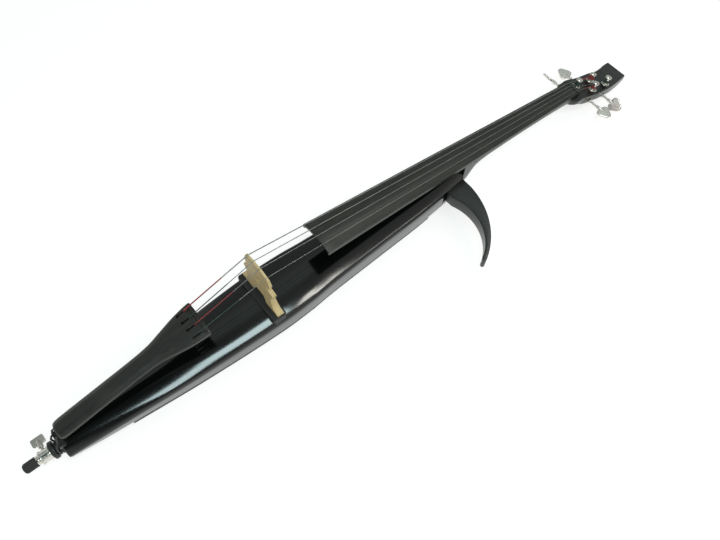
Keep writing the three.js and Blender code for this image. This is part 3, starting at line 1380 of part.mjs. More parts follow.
function makeSaddle() {
  const shape = new THREE.Shape();
  const lip = -bodyTail - saddleProud;
  const back = saddleLength - bodyTail;
  shape.moveTo(lip, saddleFoot);
  shape.lineTo(lip, saddleTop - saddleRound);
  shape.quadraticCurveTo(lip, saddleTop, lip + saddleRound, saddleTop);
  shape.lineTo(back - saddleRound, saddleTop);
  shape.lineTo(back, saddleTop - saddleRound);
  shape.lineTo(back, saddleFoot);
  const saddle = new THREE.ExtrudeGeometry(shape, {
    depth: 2 * saddleHalf, bevelEnabled: false, curveSegments: 3,
  });
  saddle.rotateX(Math.PI / 2);
  saddle.translate(0, saddleHalf, 0);
  addPart('saddle', saddle, 'ebony');
  addPart('tailgut', tubeThrough(gutPoints(), gutRadius, gutSides), 'mouldedBlack');
}

// Strings from the ball under the tailpiece to the turns round their posts
const machineOf = (string) => machines.find((entry) => entry.name === string.name);

function stringPoints(string) {
  const slotX = -tailpieceFront - keyholeFront - keyholeWidth;
  const ballX = slotX - keyholeWidth;
  const ballZ = tailpieceTopAt(ballX - ballRadius) - tailpieceThick - ballRadius - gap;
  const turns = windingPoints(machineOf(string)).map((point) => point.applyMatrix4(headMatrix));
  return [
    new THREE.Vector3(ballX, string.tailY, ballZ),
    new THREE.Vector3(slotX, string.tailY, tailpieceTopAt(slotX) + tailpieceRidge),
    new THREE.Vector3(-tailpieceFretOffset, string.tailY, fretTop + string.radius),
    new THREE.Vector3(0, string.bridgeY, bridgeZ(string)),
    new THREE.Vector3(stringLength, string.nutY, nutZ(string)),
    ...turns,
  ];
}

function makeStrings() {
  for (const string of strings) {
    const points = stringPoints(string);
    const line = tubeThrough(points, string.radius, stringSides);
    const ball = rod('y', ballRadius, -ballLength / 2, ballLength / 2, screwSteps);
    const seated = moved(ball, points[0].x, string.tailY, points[0].z);
    addPart(`string_${string.name}`, joined(line, seated), 'woundSteel');
  }
}

makeBody();
makeHousing();
makeElectronics();
makeControls();
makeHorn();
makeEndpin();
makeNeck();
makeFingerboard();
makeNut();
makeBridgeBase();
makeBridge();
makeTailpiece();
makeSaddle();
makeStrings();
for (const machine of machines) {
  makePost(machine);
  makeBushings(machine);
  makeWheel(machine);
  makeKey(machine);
}
head.position.set(headStart, 0, headFaceZ);
head.rotation.y = headTilt;
part.add(head);

export default part;
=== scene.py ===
# An electric cello lying on its back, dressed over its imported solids.
# Lengths are in millimetres until a mesh is made, +X towards the head, +Y to the lowest string.
# Finishes, lamps and the camera are in metres.
from math import atan2, copysign, cos, dist, pi, radians, sin, sqrt, tan

import bpy
import bmesh
from mathutils import Matrix, Vector


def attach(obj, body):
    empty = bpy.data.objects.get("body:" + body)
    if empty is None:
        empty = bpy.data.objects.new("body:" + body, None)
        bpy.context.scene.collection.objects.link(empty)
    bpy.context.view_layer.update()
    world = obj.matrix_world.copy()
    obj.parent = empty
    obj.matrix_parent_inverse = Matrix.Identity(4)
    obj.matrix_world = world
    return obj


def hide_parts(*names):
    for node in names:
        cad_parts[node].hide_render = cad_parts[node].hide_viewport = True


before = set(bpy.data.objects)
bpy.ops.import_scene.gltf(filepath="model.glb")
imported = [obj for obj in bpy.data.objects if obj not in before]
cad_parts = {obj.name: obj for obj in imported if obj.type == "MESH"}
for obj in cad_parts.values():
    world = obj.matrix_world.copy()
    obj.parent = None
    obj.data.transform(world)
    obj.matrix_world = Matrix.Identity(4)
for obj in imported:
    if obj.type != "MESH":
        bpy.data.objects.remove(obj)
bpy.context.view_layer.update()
print("frame loaded")

mm = 0.001
tiny = 1e-6
clearance = 0.3
overrun = 4.0
usualRimSteps = 4

cello = dict(
    stringLength=690.0,
    belly=78.0,
    bodyTail=345.0,
    bodyNeck=392.0,
    nutThick=6.0,
    headTilt=radians(14.5),
    endpinHeight=41.0,
)
tailX = -cello["bodyTail"]
neckX = cello["bodyNeck"]
nutX = cello["stringLength"]
belly = cello["belly"]
endpinZ = cello["endpinHeight"]

spans = dict(bridgeY=46.0, nutY=22.0, tailY=40.8)
strings = dict(
    c=dict(share=1 / 2, radius=0.85, tailSilk="silkRed", headSilk="silkRed"),
    g=dict(share=1 / 6, radius=0.65, tailSilk="silkGreen", headSilk="silkGreen"),
    d=dict(share=-1 / 6, radius=0.5, tailSilk="silkRed", headSilk="silkGreen"),
    a=dict(share=-1 / 2, radius=0.4, tailSilk="silkGreen", headSilk="silkRed"),
)
for string in strings.values():
    for place, span in spans.items():
        string[place] = span * string["share"]


# Curves through a few chosen shares, as on the solids
def smoothShare(table, along):
    t = min(max(along, table[0][0]), table[-1][0])
    i = 0
    while i + 2 < len(table) and t > table[i + 1][0]:
        i += 1

    def slope(k):
        before = table[max(k - 1, 0)]
        after = table[min(k + 1, len(table) - 1)]
        return (after[1] - before[1]) / (after[0] - before[0])

    span = table[i + 1][0] - table[i][0]
    u = (t - table[i][0]) / span
    rise = (2 * u**3 - 3 * u**2 + 1) * table[i][1] + (3 * u**2 - 2 * u**3) * table[i + 1][1]
    bend = (u**3 - 2 * u**2 + u) * slope(i) + (u**3 - u**2) * slope(i + 1)
    return rise + span * bend


def mix(a, b, share):
    return a + (b - a) * share


def evenly(start, end, steps):
    return [mix(start, end, i / steps) for i in range(steps + 1)]


def quarterTurns(steps, first=0):
    return [pi / 2 * i / steps for i in range(first, steps + 1)]


def arcPoints(centre, radius, start, end, steps):
    turns = evenly(start, end, steps)
    return [(centre[0] + radius * cos(t), centre[1] + radius * sin(t)) for t in turns]


def bent(a, corner, b, u):
    return a * (1 - u) ** 2 + corner * 2 * u * (1 - u) + b * u * u


# A ring across the instrument from the drawing of its left half
def mirroredRing(x, half, last=None):
    right = [(x, -y, z) for y, z in reversed(half[1:last])]
    return [(x, y, z) for y, z in half] + right


# Mesh makers: each returns points and faces in millimetres
def loftRings(rings):
    count = len(rings[0])
    points = [p for ring in rings for p in ring]
    faces = []
    for r in range(len(rings) - 1):
        for i in range(count):
            a = r * count + i
            b = r * count + (i + 1) % count
            faces.append((a, b, b + count, a + count))
    faces.append(tuple(reversed(range(count))))
    faces.append(tuple(range(len(points) - count, len(points))))
    return points, faces


def turnPlace(axis, radius, turn, height):
    across = radius * cos(turn)
    up = radius * sin(turn)
    if axis == "x":
        return (height, across, up)
    if axis == "y":
        return (across, height, up)
    return (across, up, height)


# A profile's corner with a third number is rounded by it, below zero where the rounding comes before
# the corner's height. A fourth number gives the steps
def withRims(profile):
    points = []
    for radius, height, *rim in profile:
        if not rim:
            points.append((radius, height))
            continue
        size = abs(rim[0])
        for turn in quarterTurns(*(rim[1:] or [usualRimSteps])):
            if rim[0] > 0:
                across, along = sin(turn), 1 - cos(turn)
            else:
                across, along = cos(turn), sin(turn) - 1
            points.append((radius - size + size * across, height + size * along))
    return points


def turnedShape(profile, axis="z", steps=48, ripple=None):
    points = []
    faces = []
    starts = []
    for radius, height in withRims(profile):
        starts.append((len(points), radius > tiny))
        if radius <= tiny:
            points.append(turnPlace(axis, 0, 0, height))
            continue
        for i in range(steps):
            turn = 2 * pi * i / steps
            shown = radius * (ripple(turn, radius, height) if ripple else 1)
            points.append(turnPlace(axis, shown, turn, height))
    for (a, wideA), (b, wideB) in zip(starts, starts[1:]):
        for i in range(steps):
            j = (i + 1) % steps
            if wideA and wideB:
                faces.append((a + i, a + j, b + j, b + i))
            elif wideB:
                faces.append((a, b + j, b + i))
            elif wideA:
                faces.append((a + i, a + j, b))
    return points, faces


def rodShape(radius, low, high, axis="z", steps=32):
    return turnedShape([(0, low), (radius, low), (radius, high), (0, high)], axis, steps)


def tubeShape(path, radius, sides):
    rings = []
    side = Vector((0, 1, 0))
    for i, point in enumerate(path):
        before = Vector(path[max(i - 1, 0)])
        after = Vector(path[min(i + 1, len(path) - 1)])
        tangent = (after - before).normalized()
        side = (side - tangent * side.dot(tangent)).normalized()
        up = tangent.cross(side)
        ring = []
        for k in range(sides):
            turn = 2 * pi * k / sides
            ring.append(tuple(Vector(point) + side * radius * cos(turn) + up * radius * sin(turn)))
        rings.append(ring)
    return loftRings(rings)


def blockShape(low, high):
    xs, ys, zs = zip(low, high)
    points = [(x, y, z) for x in xs for y in ys for z in zs]
    faces = [(0, 1, 3, 2), (4, 6, 7, 5), (0, 4, 5, 1), (2, 3, 7, 6), (0, 2, 6, 4), (1, 5, 7, 3)]
    return points, faces


def shifted(shape, x=0.0, y=0.0, z=0.0):
    points, faces = shape
    return [(p[0] + x, p[1] + y, p[2] + z) for p in points], faces


def placed(shape, matrix):
    points, faces = shape
    return [tuple(matrix @ Vector(p)) for p in points], faces


def together(*shapes):
    points = []
    faces = []
    for part in shapes:
        start = len(points)
        points += list(part[0])
        faces += [tuple(i + start for i in face) for face in part[1]]
    return points, faces


def newObject(name, data):
    made = bpy.data.objects.new(name, data)
    bpy.context.scene.collection.objects.link(made)
    return made


def evaluatedMesh(holder):
    depsgraph = bpy.context.evaluated_depsgraph_get()
    return bpy.data.meshes.new_from_object(holder.evaluated_get(depsgraph))


# A flat outline with holes, raised along Z with rounded rims
def plateShape(outlines, low, high, rim, rimSteps=3):
    curve = bpy.data.curves.new("plateOutline", "CURVE")
    curve.dimensions = "2D"
    curve.fill_mode = "BOTH"
    curve.extrude = (high - low) / 2 - rim
    curve.bevel_depth = rim
    curve.bevel_resolution = rimSteps
    curve.offset = -rim
    for outline in outlines:
        spline = curve.splines.new("POLY")
        spline.points.add(len(outline) - 1)
        spline.use_cyclic_u = True
        for corner, point in zip(spline.points, outline):
            corner.co = (point[0], point[1], 0, 1)
    holder = newObject("plateOutline", curve)
    mesh = evaluatedMesh(holder)
    middle = (low + high) / 2
    points = [(v.co.x, v.co.y, v.co.z + middle) for v in mesh.vertices]
    faces = [tuple(p.vertices) for p in mesh.polygons]
    bpy.data.objects.remove(holder)
    bpy.data.curves.remove(curve)
    bpy.data.meshes.remove(mesh)
    return points, faces


def roundedOutline(width, height, radius, steps=8):
    x = width / 2 - radius
    y = height / 2 - radius
    corners = [(x, y, 0), (-x, y, 1), (-x, -y, 2), (x, -y, 3)]
    points = []
    for cx, cy, quarter in corners:
        start = quarter * pi / 2
        points += arcPoints((cx, cy), radius, start, start + pi / 2, steps)
    return points


# Turns a drawing of Y and Z, raised along Z, to stand across the instrument
def standing(shape):
    points, faces = shape
    return [(z, x, y) for x, y, z in points], faces


def meshFrom(name, shape):
    points, faces = shape
    mesh = bpy.data.meshes.new(name)
    mesh.from_pydata([(p[0] * mm, p[1] * mm, p[2] * mm) for p in points], [], faces)
    work = bmesh.new()
    work.from_mesh(mesh)
    bmesh.ops.remove_doubles(work, verts=work.verts, dist=tiny)
    bmesh.ops.recalc_face_normals(work, faces=work.faces)
    work.to_mesh(mesh)
    work.free()
    return mesh


def objectFrom(name, shape):
    return newObject(name, meshFrom(name, shape))


# Makes a piece's modifiers part of its mesh
def applied(piece):
    mesh = evaluatedMesh(piece)
    piece.modifiers.clear()
    piece.data = mesh


# Takes closed shapes out of a piece, or joins them to it
def carve(piece, shapes, operation="DIFFERENCE"):
    for shape in shapes:
        tool = objectFrom("cutter", shape)
        cut = piece.modifiers.new("cut", "BOOLEAN")
        cut.operation = operation
        cut.solver = "EXACT"
        cut.object = tool
        applied(piece)
        bpy.data.objects.remove(tool)
    return piece


# Softens the edges that are sharper than an angle, and shades the rest smooth
def eased(piece, width, steps=2, angle=32):
    if width > 0:
        edge = piece.modifiers.new("easedEdges", "BEVEL")
        edge.width = width * mm
        edge.segments = steps
        edge.limit_method = "ANGLE"
        edge.angle_limit = radians(angle)
        edge.use_clamp_overlap = True
        edge.harden_normals = False
        applied(piece)
    piece.data.shade_smooth()
    piece.data.set_sharp_from_angle(angle=radians(angle))
    return piece


def dress(piece, finish, body="instrument", covers=()):
    piece.data.name = piece.name
    piece.data.materials.clear()
    piece.data.materials.append(finishes[finish]["material"])
    for polygon in piece.data.polygons:
        polygon.material_index = 0
    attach(piece, body)
    if covers:
        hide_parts(*covers)
    return piece


def addPiece(name, shape, finish, body="instrument", covers=(), edge=0.0, steps=2, angle=32, cuts=()):
    piece = objectFrom(name, shape)
    carve(piece, cuts)
    eased(piece, edge, steps, angle)
    return dress(piece, finish, body, covers)


# Finishes
finishes = {}
usualIor = 1.5
bandsPerUnit = 20


# Links a socket to another, or sets its value
def feed(tree, socket, value):
    if isinstance(value, bpy.types.NodeSocket):
        tree.links.new(value, socket)
    else:
        socket.default_value = value


def addNode(tree, kind, settings=None, **inputs):
    made = tree.nodes.new(kind)
    for name, value in (settings or {}).items():
        setattr(made, name, value)
    for name, value in inputs.items():
        feed(tree, made.inputs[name.replace("_", " ")], value)
    return made


def rgba(colour):
    return (colour[0], colour[1], colour[2], 1.0)


def startFinish(name, slot, values):
    material = bpy.data.materials.new(name)
    material.use_nodes = True
    shader = material.node_tree.nodes["Principled BSDF"]
    shader.inputs["Base Color"].default_value = rgba(values["colour"])
    shader.inputs["Roughness"].default_value = values["roughness"]
    shader.inputs["Metallic"].default_value = values.get("metallic", 0.0)
    shader.inputs["IOR"].default_value = values.get("ior", usualIor)
    material.diffuse_color = rgba(values["colour"])
    finishes[name] = {"material": material, "slot": slot}
    return material.node_tree, shader


# Gives a shader its colour, and a roughness that varies with a field
def colourShader(tree, shader, colour, field, values):
    tree.links.new(colour, shader.inputs["Base Color"])
    tree.links.new(ranged(tree, field, values["roughness"], values["duller"]), shader.inputs["Roughness"])


def fieldColour(tree, field, values):
    return blendColours(tree, ranged(tree, field, 0, 1), values["colour"], values["second"])


def mappedPlace(tree, stretch=(1, 1, 1)):
    place = addNode(tree, "ShaderNodeTexCoord")
    mapping = addNode(tree, "ShaderNodeMapping", Vector=place.outputs["Object"])
    mapping.inputs["Scale"].default_value = stretch
    return mapping.outputs["Vector"]


def noiseField(tree, place, scale, detail=3.0, roughness=0.5, distortion=0.0):
    field = addNode(
        tree, "ShaderNodeTexNoise", None, Vector=place, Scale=scale, Detail=detail, Roughness=roughness
    )
    field.inputs["Distortion"].default_value = distortion
    return field.outputs["Fac"]


def ranged(tree, value, low, high, fromLow=0.3, fromHigh=0.7):
    field = addNode(tree, "ShaderNodeMapRange", None, Value=value)
    field.inputs["From Min"].default_value = fromLow
    field.inputs["From Max"].default_value = fromHigh
    field.inputs["To Min"].default_value = low
    field.inputs["To Max"].default_value = high
    return field.outputs["Result"]


# A colour mix has its colours at inputs 6 and 7 and its result at output 2
def blendColours(tree, factor, first, second):
    mixer = addNode(tree, "ShaderNodeMix", {"data_type": "RGBA"})
    tree.links.new(factor, mixer.inputs["Factor"])
    for place, value in ((6, first), (7, second)):
        feed(tree, mixer.inputs[place], rgba(value) if isinstance(value, tuple) else value)
    return mixer.outputs[2]


def addBump(tree, shader, height, strength, distance, under=None):
    bump = addNode(tree, "ShaderNodeBump", None, Height=height, Strength=strength, Distance=distance)
    if under is not None:
        tree.links.new(under, bump.inputs["Normal"])
    tree.links.new(bump.outputs["Normal"], shader.inputs["Normal"])
    return bump.outputs["Normal"]


def fillLacquer(tree, shader, values):
    place = mappedPlace(tree)
    broad = noiseField(tree, place, values["broadScale"], 3.0)
    dust = addNode(tree, "ShaderNodeTexVoronoi", None, Vector=place, Scale=values["dustScale"])
    speck = ranged(tree, dust.outputs["Distance"], 1.0, 0.0, *values["dustRange"])
    colour = blendColours(tree, broad, values["colour"], values["second"])
    colourShader(tree, shader, blendColours(tree, speck, colour, values["dust"]), broad, values)
    wave = addBump(tree, shader, broad, values["waveStrength"], values["wave"])
    fine = noiseField(tree, place, values["fineScale"], 2.0)
    addBump(tree, shader, fine, values["fineStrength"], values["fine"], wave)


def fillEbony(tree, shader, values):
    along = mappedPlace(tree, values["stretch"])
    grain = noiseField(tree, along, values["scale"], *values["grain"])
    streaks = noiseField(tree, along, values["streakScale"], 2.0)
    base = fieldColour(tree, grain, values)
    colour = blendColours(tree, ranged(tree, streaks, *values["streakRange"]), base, values["streak"])
    colourShader(tree, shader, colour, grain, values)
    pores = mappedPlace(tree, values["poreStretch"])
    pore = noiseField(tree, pores, values["poreScale"], roughness=values["poreRough"])
    addBump(tree, shader, pore, values["poreStrength"], values["poreDepth"])


def fillGrained(tree, shader, values):
    place = mappedPlace(tree, values.get("stretch", (1, 1, 1)))
    broad = noiseField(tree, place, values["broadScale"], 4.0)
    colour = fieldColour(tree, broad, values)
    colourShader(tree, shader, colour, broad, values)
    fine = noiseField(tree, place, values["fineScale"], 2.0)
    addBump(tree, shader, fine, values["fineStrength"], values["fine"])


def fillMaple(tree, shader, values):
    upright = mappedPlace(tree, values["stretch"])
    grain = noiseField(tree, upright, values["scale"], *values["grain"])
    base = fieldColour(tree, grain, values)
    flecks = mappedPlace(tree, values["fleckStretch"])
    fleck = addNode(tree, "ShaderNodeTexVoronoi", None, Vector=flecks, Scale=values["fleckScale"])
    mark = ranged(tree, fleck.outputs["Distance"], *values["fleckRange"])
    colour = blendColours(tree, mark, base, values["fleck"])
    broad = noiseField(tree, mappedPlace(tree), values["broadScale"], 2.0)
    colour = blendColours(tree, ranged(tree, broad, 0, values["agedShare"]), colour, values["aged"])
    colourShader(tree, shader, colour, grain, values)
    addBump(tree, shader, grain, values["grainStrength"], values["grainDepth"])


# Fine ribs wound round a string, or threads of silk, at a true pitch along the string
def fillWound(tree, shader, values):
    place = mappedPlace(tree)
    wave = addNode(
        tree, "ShaderNodeTexWave", {"wave_type": "BANDS", "bands_direction": "X"}, Vector=place
    )
    wave.inputs["Scale"].default_value = 1 / values["pitch"] / bandsPerUnit
    wave.inputs["Distortion"].default_value = values["uneven"]
    broad = noiseField(tree, place, values["broadScale"], 3.0)
    colour = fieldColour(tree, broad, values)
    colourShader(tree, shader, colour, broad, values)
    addBump(tree, shader, wave.outputs["Fac"], values["ribStrength"], values["rib"])


def fillCircuit(tree, shader, values):
    place = mappedPlace(tree)
    cells = addNode(
        tree, "ShaderNodeTexVoronoi", {"distance": "MANHATTAN", "feature": "DISTANCE_TO_EDGE"},
        Vector=place, Scale=values["traceScale"],
    )
    trace = ranged(tree, cells.outputs["Distance"], 1.0, 0.0, *values["traceRange"])
    colour = blendColours(tree, trace, values["colour"], values["trace"])
    tree.links.new(colour, shader.inputs["Base Color"])
    addBump(tree, shader, trace, values["traceStrength"], values["traceDepth"])


lacquerValues = dict(
    colour=(0.0016, 0.002, 0.0019), second=(0.0022, 0.0028, 0.0026), dust=(0.012, 0.014, 0.014),
    roughness=0.09, duller=0.13, ior=1.55, broadScale=9.0, dustScale=700.0,
    waveStrength=0.03, wave=0.0005, fineScale=420.0, fineStrength=0.006, fine=0.00003,
    dustRange=(0.02, 0.06),
)
hornValues = dict(lacquerValues, colour=(0.0058, 0.0074, 0.0068), second=(0.0078, 0.0098, 0.009),
                  roughness=0.2, duller=0.3, ior=1.5)
boardValues = dict(
    colour=(0.0085, 0.009, 0.0072), second=(0.024, 0.0245, 0.0195), streak=(0.04, 0.037, 0.029),
    roughness=0.34, duller=0.46, stretch=(1, 22, 22), scale=14.0, streakScale=5.0,
    poreStretch=(1, 14, 14), poreScale=240.0, poreStrength=0.2, poreDepth=0.00012,
    poreRough=0.7, grain=(6.0, 0.6, 0.4), streakRange=(0, 0.6, 0.5, 0.75),
)
tailValues = dict(boardValues, colour=(0.0075, 0.0075, 0.006), second=(0.015, 0.0145, 0.0115),
                  streak=(0.03, 0.026, 0.02), roughness=0.34, duller=0.46)
neckValues = dict(
    colour=(0.0045, 0.005, 0.0045), second=(0.0075, 0.008, 0.0072), roughness=0.22, duller=0.32,
    broadScale=18.0, fineScale=900.0, fineStrength=0.08, fine=0.00006,
)
mapleValues = dict(
    colour=(0.68, 0.53, 0.28), second=(0.56, 0.42, 0.2), fleck=(0.46, 0.31, 0.14),
    aged=(0.6, 0.45, 0.23), roughness=0.42, duller=0.6, stretch=(16, 16, 1.2), scale=22.0,
    fleckStretch=(1, 5, 1), fleckScale=260.0, broadScale=60.0, grainStrength=0.15,
    grainDepth=0.0001, grain=(5.0, 0.6, 0.6), fleckRange=(0.7, 0.0, 0.1, 0.35), agedShare=0.45,
)
mouldedValues = dict(
    colour=(0.009, 0.0095, 0.0095), second=(0.013, 0.0135, 0.0135), roughness=0.42,
    duller=0.58, broadScale=30.0, fineScale=1700.0, fineStrength=0.22, fine=0.00008,
)
rubberValues = dict(mouldedValues, colour=(0.02, 0.0205, 0.0205), second=(0.034, 0.034, 0.033),
                    roughness=0.72, duller=0.9, fineScale=1100.0, fineStrength=0.35)
chromeValues = dict(
    colour=(0.62, 0.6, 0.56), second=(0.7, 0.68, 0.64), roughness=0.1, duller=0.2,
    metallic=1.0, broadScale=90.0, fineScale=1500.0, fineStrength=0.04, fine=0.00003,
)
steelValues = dict(chromeValues, colour=(0.47, 0.44, 0.41), second=(0.56, 0.53, 0.5), roughness=0.24,
                   duller=0.36, broadScale=40.0, fineStrength=0.12, stretch=(1, 1, 8))
keyValues = dict(steelValues, colour=(0.72, 0.68, 0.65), second=(0.8, 0.76, 0.73), roughness=0.2,
                 duller=0.3)
brassValues = dict(chromeValues, colour=(0.56, 0.38, 0.13), second=(0.66, 0.47, 0.18), roughness=0.24,
                   duller=0.4, fineStrength=0.1)
woundValues = dict(
    colour=(0.194, 0.194, 0.187), second=(0.288, 0.288, 0.281), roughness=0.28, duller=0.42,
    metallic=1.0, pitch=0.0005, uneven=0.05, broadScale=200.0, ribStrength=0.5,
    rib=0.00006,
)
silkRedValues = dict(
    colour=(0.23, 0.022, 0.024), second=(0.32, 0.045, 0.045), roughness=0.5, duller=0.7,
    metallic=0.0, pitch=0.0006, uneven=0.4, broadScale=300.0, ribStrength=0.7,
    rib=0.0001,
)
silkGreenValues = dict(silkRedValues, colour=(0.012, 0.035, 0.028), second=(0.03, 0.07, 0.055))
circuitValues = dict(
    colour=(0.012, 0.09, 0.04), trace=(0.06, 0.2, 0.09), roughness=0.35, traceScale=260.0,
    traceStrength=0.3, traceDepth=0.0001, traceRange=(0.03, 0.08),
)
cellValues = dict(mouldedValues, colour=(0.05, 0.06, 0.08), second=(0.07, 0.08, 0.1), roughness=0.3,
                  duller=0.42, fineStrength=0.06)

for fill, name, slot, values in (
        (fillLacquer, "lacquer", "lacquer", lacquerValues),
        (fillLacquer, "hornLacquer", "lacquer", hornValues),
        (fillEbony, "boardEbony", "ebony", boardValues), (fillEbony, "tailEbony", "ebony", tailValues),
        (fillGrained, "satinBlack", "satin_black", neckValues), (fillMaple, "maple", "maple", mapleValues),
        (fillGrained, "mouldedBlack", "moulded_black", mouldedValues),
        (fillGrained, "softBlack", "soft_black", rubberValues),
        (fillGrained, "chrome", "chrome", chromeValues),
        (fillGrained, "satinSteel", "satin_steel", steelValues),
        (fillGrained, "keySteel", "satin_steel", keyValues), (fillGrained, "brass", "brass", brassValues),
        (fillWound, "woundSteel", "wound_steel", woundValues),
        (fillWound, "silkRed", "wound_steel", silkRedValues),
        (fillWound, "silkGreen", "wound_steel", silkGreenValues),
        (fillCircuit, "circuit", "circuit", circuitValues), (fillGrained, "cell", "cell", cellValues)):
    fill(*startFinish(name, slot, values), values)
print("finishes made")

# Body
bodyShape = dict(
    halfWidth=50.2,
    widthShares=[(0, 0.49), (0.115, 0.635), (0.278, 0.85), (0.468, 1), (0.55, 0.975), (0.604, 0.91),
                 (0.739, 0.815), (0.875, 0.725), (1, 0.56)],
    riseShares=[(0, -2.4), (0.468, 0), (1, 0.7)],
    rise=6.0, arch=6.0, sunk=3.4, fall=11.0, sideDepth=53.0,
    draft=3.0, keel=4.0, endRound=2.5, tailLift=5.0, liftLength=88.0,
    roll=4.5, rollDrop=9.3, stations=110, archSteps=20, rollSteps=12, keelSteps=5,
    endSteps=5, rollReach=0.6, sideReach=0.55, sideShares=(0.34, 0.67),
    shankBore=8.8, shankDepth=40,
)
housingDepth = belly - bodyShape["sideDepth"]


def bodyShare(x):
    return (x - tailX) / (neckX - tailX)


def bodyWidth(x):
    return bodyShape["halfWidth"] * smoothShare(bodyShape["widthShares"], bodyShare(x))


def bellyCrown(x):
    return belly - bodyShape["sunk"] + bodyShape["rise"] * smoothShare(bodyShape["riseShares"], bodyShare(x))


def underside(x):
    share = min(max((x - tailX) / bodyShape["liftLength"], 0), 1)
    return housingDepth + bodyShape["tailLift"] * (1 - share) ** 2


def bodyRing(x, grow=0.0):
    b = bodyShape
    width = bodyWidth(x) + grow
    flat = width - b["roll"]
    crown = bellyCrown(x) + grow
    low = underside(x) - min(grow, 0)
    half = []
    for i in range(b["archSteps"]):
        y = flat * i / b["archSteps"]
        half.append((y, crown - b["rollDrop"] * (y / flat) ** 2))
    top = Vector((flat, crown - b["rollDrop"]))
    end = Vector((width, crown - b["arch"] - b["fall"]))
    first = top + Vector((1, -2 * b["rollDrop"] / flat)) * b["roll"] * b["rollReach"]
    last = end + Vector((0, 1)) * (b["arch"] + b["fall"] - b["rollDrop"]) * b["sideReach"]
    for i in range(b["rollSteps"] + 1):
        u = i / b["rollSteps"]
        v = 1 - u
        half.append(tuple(top * v**3 + first * 3 * v * v * u + last * 3 * v * u * u + end * u**3))
    foot = Vector((width - b["draft"], low + b["keel"]))
    for share in b["sideShares"]:
        half.append(tuple(end.lerp(foot, share)))
    for turn in quarterTurns(b["keelSteps"]):
        y = width - b["draft"] - b["keel"] * (1 - cos(turn))
        half.append((y, low + b["keel"] * (1 - sin(turn))))
    return mirroredRing(x, half)


def bodySkin(grow=0.0):
    b = bodyShape
    ends = [(b["endRound"] * (1 - cos(turn)), grow - b["endRound"] * (1 - sin(turn)))
            for turn in quarterTurns(b["endSteps"])[:-1]]
    start = b["endRound"] + tailX
    length = neckX - tailX - 2 * b["endRound"]
    rings = [bodyRing(tailX + back, size) for back, size in ends]
    rings += [bodyRing(start + length * i / b["stations"], grow) for i in range(b["stations"] + 1)]
    rings += [bodyRing(neckX - back, size) for back, size in reversed(ends)]
    return loftRings(rings)


horn = dict(
    outer=(244.734, -36.1), outerRadius=144.1, inner=(269.95, -80.05), innerRadius=86.03,
    outerStart=radians(-3.9), outerEnd=radians(-62),
    innerStart=radians(-62.5), innerEnd=radians(23.3),
    low=41.0, high=66.0, rim=1.6, rootFront=347.96, rootBack=388.5, rootInside=-16.0,
    rootRound=5.0, pocketFront=340.96, pocketInside=-13.1, arcSteps=40,
    noseSteps=10, rootSteps=8,
)
panel = dict(
    start=60.0, length=116.0, height=26.0, z=47.0, depth=3.0, thick=2.5, ledge=5.0,
    round=4.0, cavityInside=-24.0, wall=6.0,
    volume=0.16, power=0.42, phones=0.64, output=0.86,
)
panelEnd = panel["start"] + panel["length"]
panelFace = bodyWidth(panelEnd) - panel["depth"]
recessFloor = panelFace - panel["thick"] - clearance
saddle = dict(half=13.0, length=8.0, height=4.0, proud=1.6, round=2.0, steps=8)
saddleTop = bellyCrown(tailX) + saddle["height"]
saddleFoot = saddleTop - 2 * saddle["height"]


# Places a drawing on the control side, at a depth
def onControlSide(shape, face=0.0):
    return placed(shape, Matrix(((1, 0, 0, panel["start"] + panel["length"] / 2), (0, 0, 1, face),
                                 (0, -1, 0, panel["z"]), (0, 0, 0, 1))))


def makeBody():
    p = panel
    reach = bodyShape["halfWidth"] + overrun
    pocket = blockShape((horn["pocketFront"], -reach, horn["low"] - clearance),
                        (neckX + overrun, horn["pocketInside"], horn["high"] + clearance))
    half = p["height"] / 2
    outline = roundedOutline(p["length"] + 2 * clearance, p["height"] + 2 * clearance, p["round"])
    recess = onControlSide(plateShape([outline], recessFloor, reach, 0, 0))
    window = blockShape((p["start"] + p["ledge"], p["cavityInside"], p["z"] - half + p["ledge"]),
                        (panelEnd - p["ledge"], recessFloor + overrun, p["z"] + half - p["ledge"]))
    cavity = blockShape((p["start"] + p["ledge"], p["cavityInside"], housingDepth - overrun),
                        (panelEnd - p["ledge"], recessFloor - p["wall"], p["z"] + half - p["ledge"]))
    seat = blockShape((tailX - overrun, -saddle["half"] - clearance, saddleFoot - clearance),
                      (saddle["length"] + tailX + clearance, saddle["half"] + clearance,
                       saddleTop + overrun))
    shank = rodShape(bodyShape["shankBore"], tailX - overrun, tailX + bodyShape["shankDepth"], "x", steps=36)
    cuts = [pocket, recess, window, cavity, seat, shifted(shank, z=endpinZ)]
    addPiece("body", bodySkin(), "lacquer", covers=["body_shell"], edge=0.5, steps=3, angle=38, cuts=cuts)


def hornOutline():
    h = horn
    steps = h["arcSteps"]
    outer = arcPoints(h["outer"], h["outerRadius"], h["outerStart"], h["outerEnd"], steps)
    inner = arcPoints(h["inner"], h["innerRadius"], h["innerStart"], h["innerEnd"], steps)
    tip = ((outer[-1][0] + inner[0][0]) / 2, (outer[-1][1] + inner[0][1]) / 2)
    radius = dist(tip, outer[-1])
    turn = atan2(outer[-1][1] - tip[1], outer[-1][0] - tip[0])
    nose = arcPoints(tip, radius, turn, turn - pi, h["noseSteps"])[1:-1]
    r = h["rootRound"]
    corner = arcPoints((h["rootFront"] + r, h["rootInside"] - r), r, pi, pi / 2, h["rootSteps"])
    back = arcPoints((h["rootBack"] - r, h["rootInside"] - r), r, pi / 2, 0, h["rootSteps"])
    return corner + back + outer + nose + inner


def makeHorn():
    arm = plateShape([hornOutline()], horn["low"], horn["high"], horn["rim"], 4)
    addPiece("bout_arm", arm, "hornLacquer", "horn", ["horn_arm"])


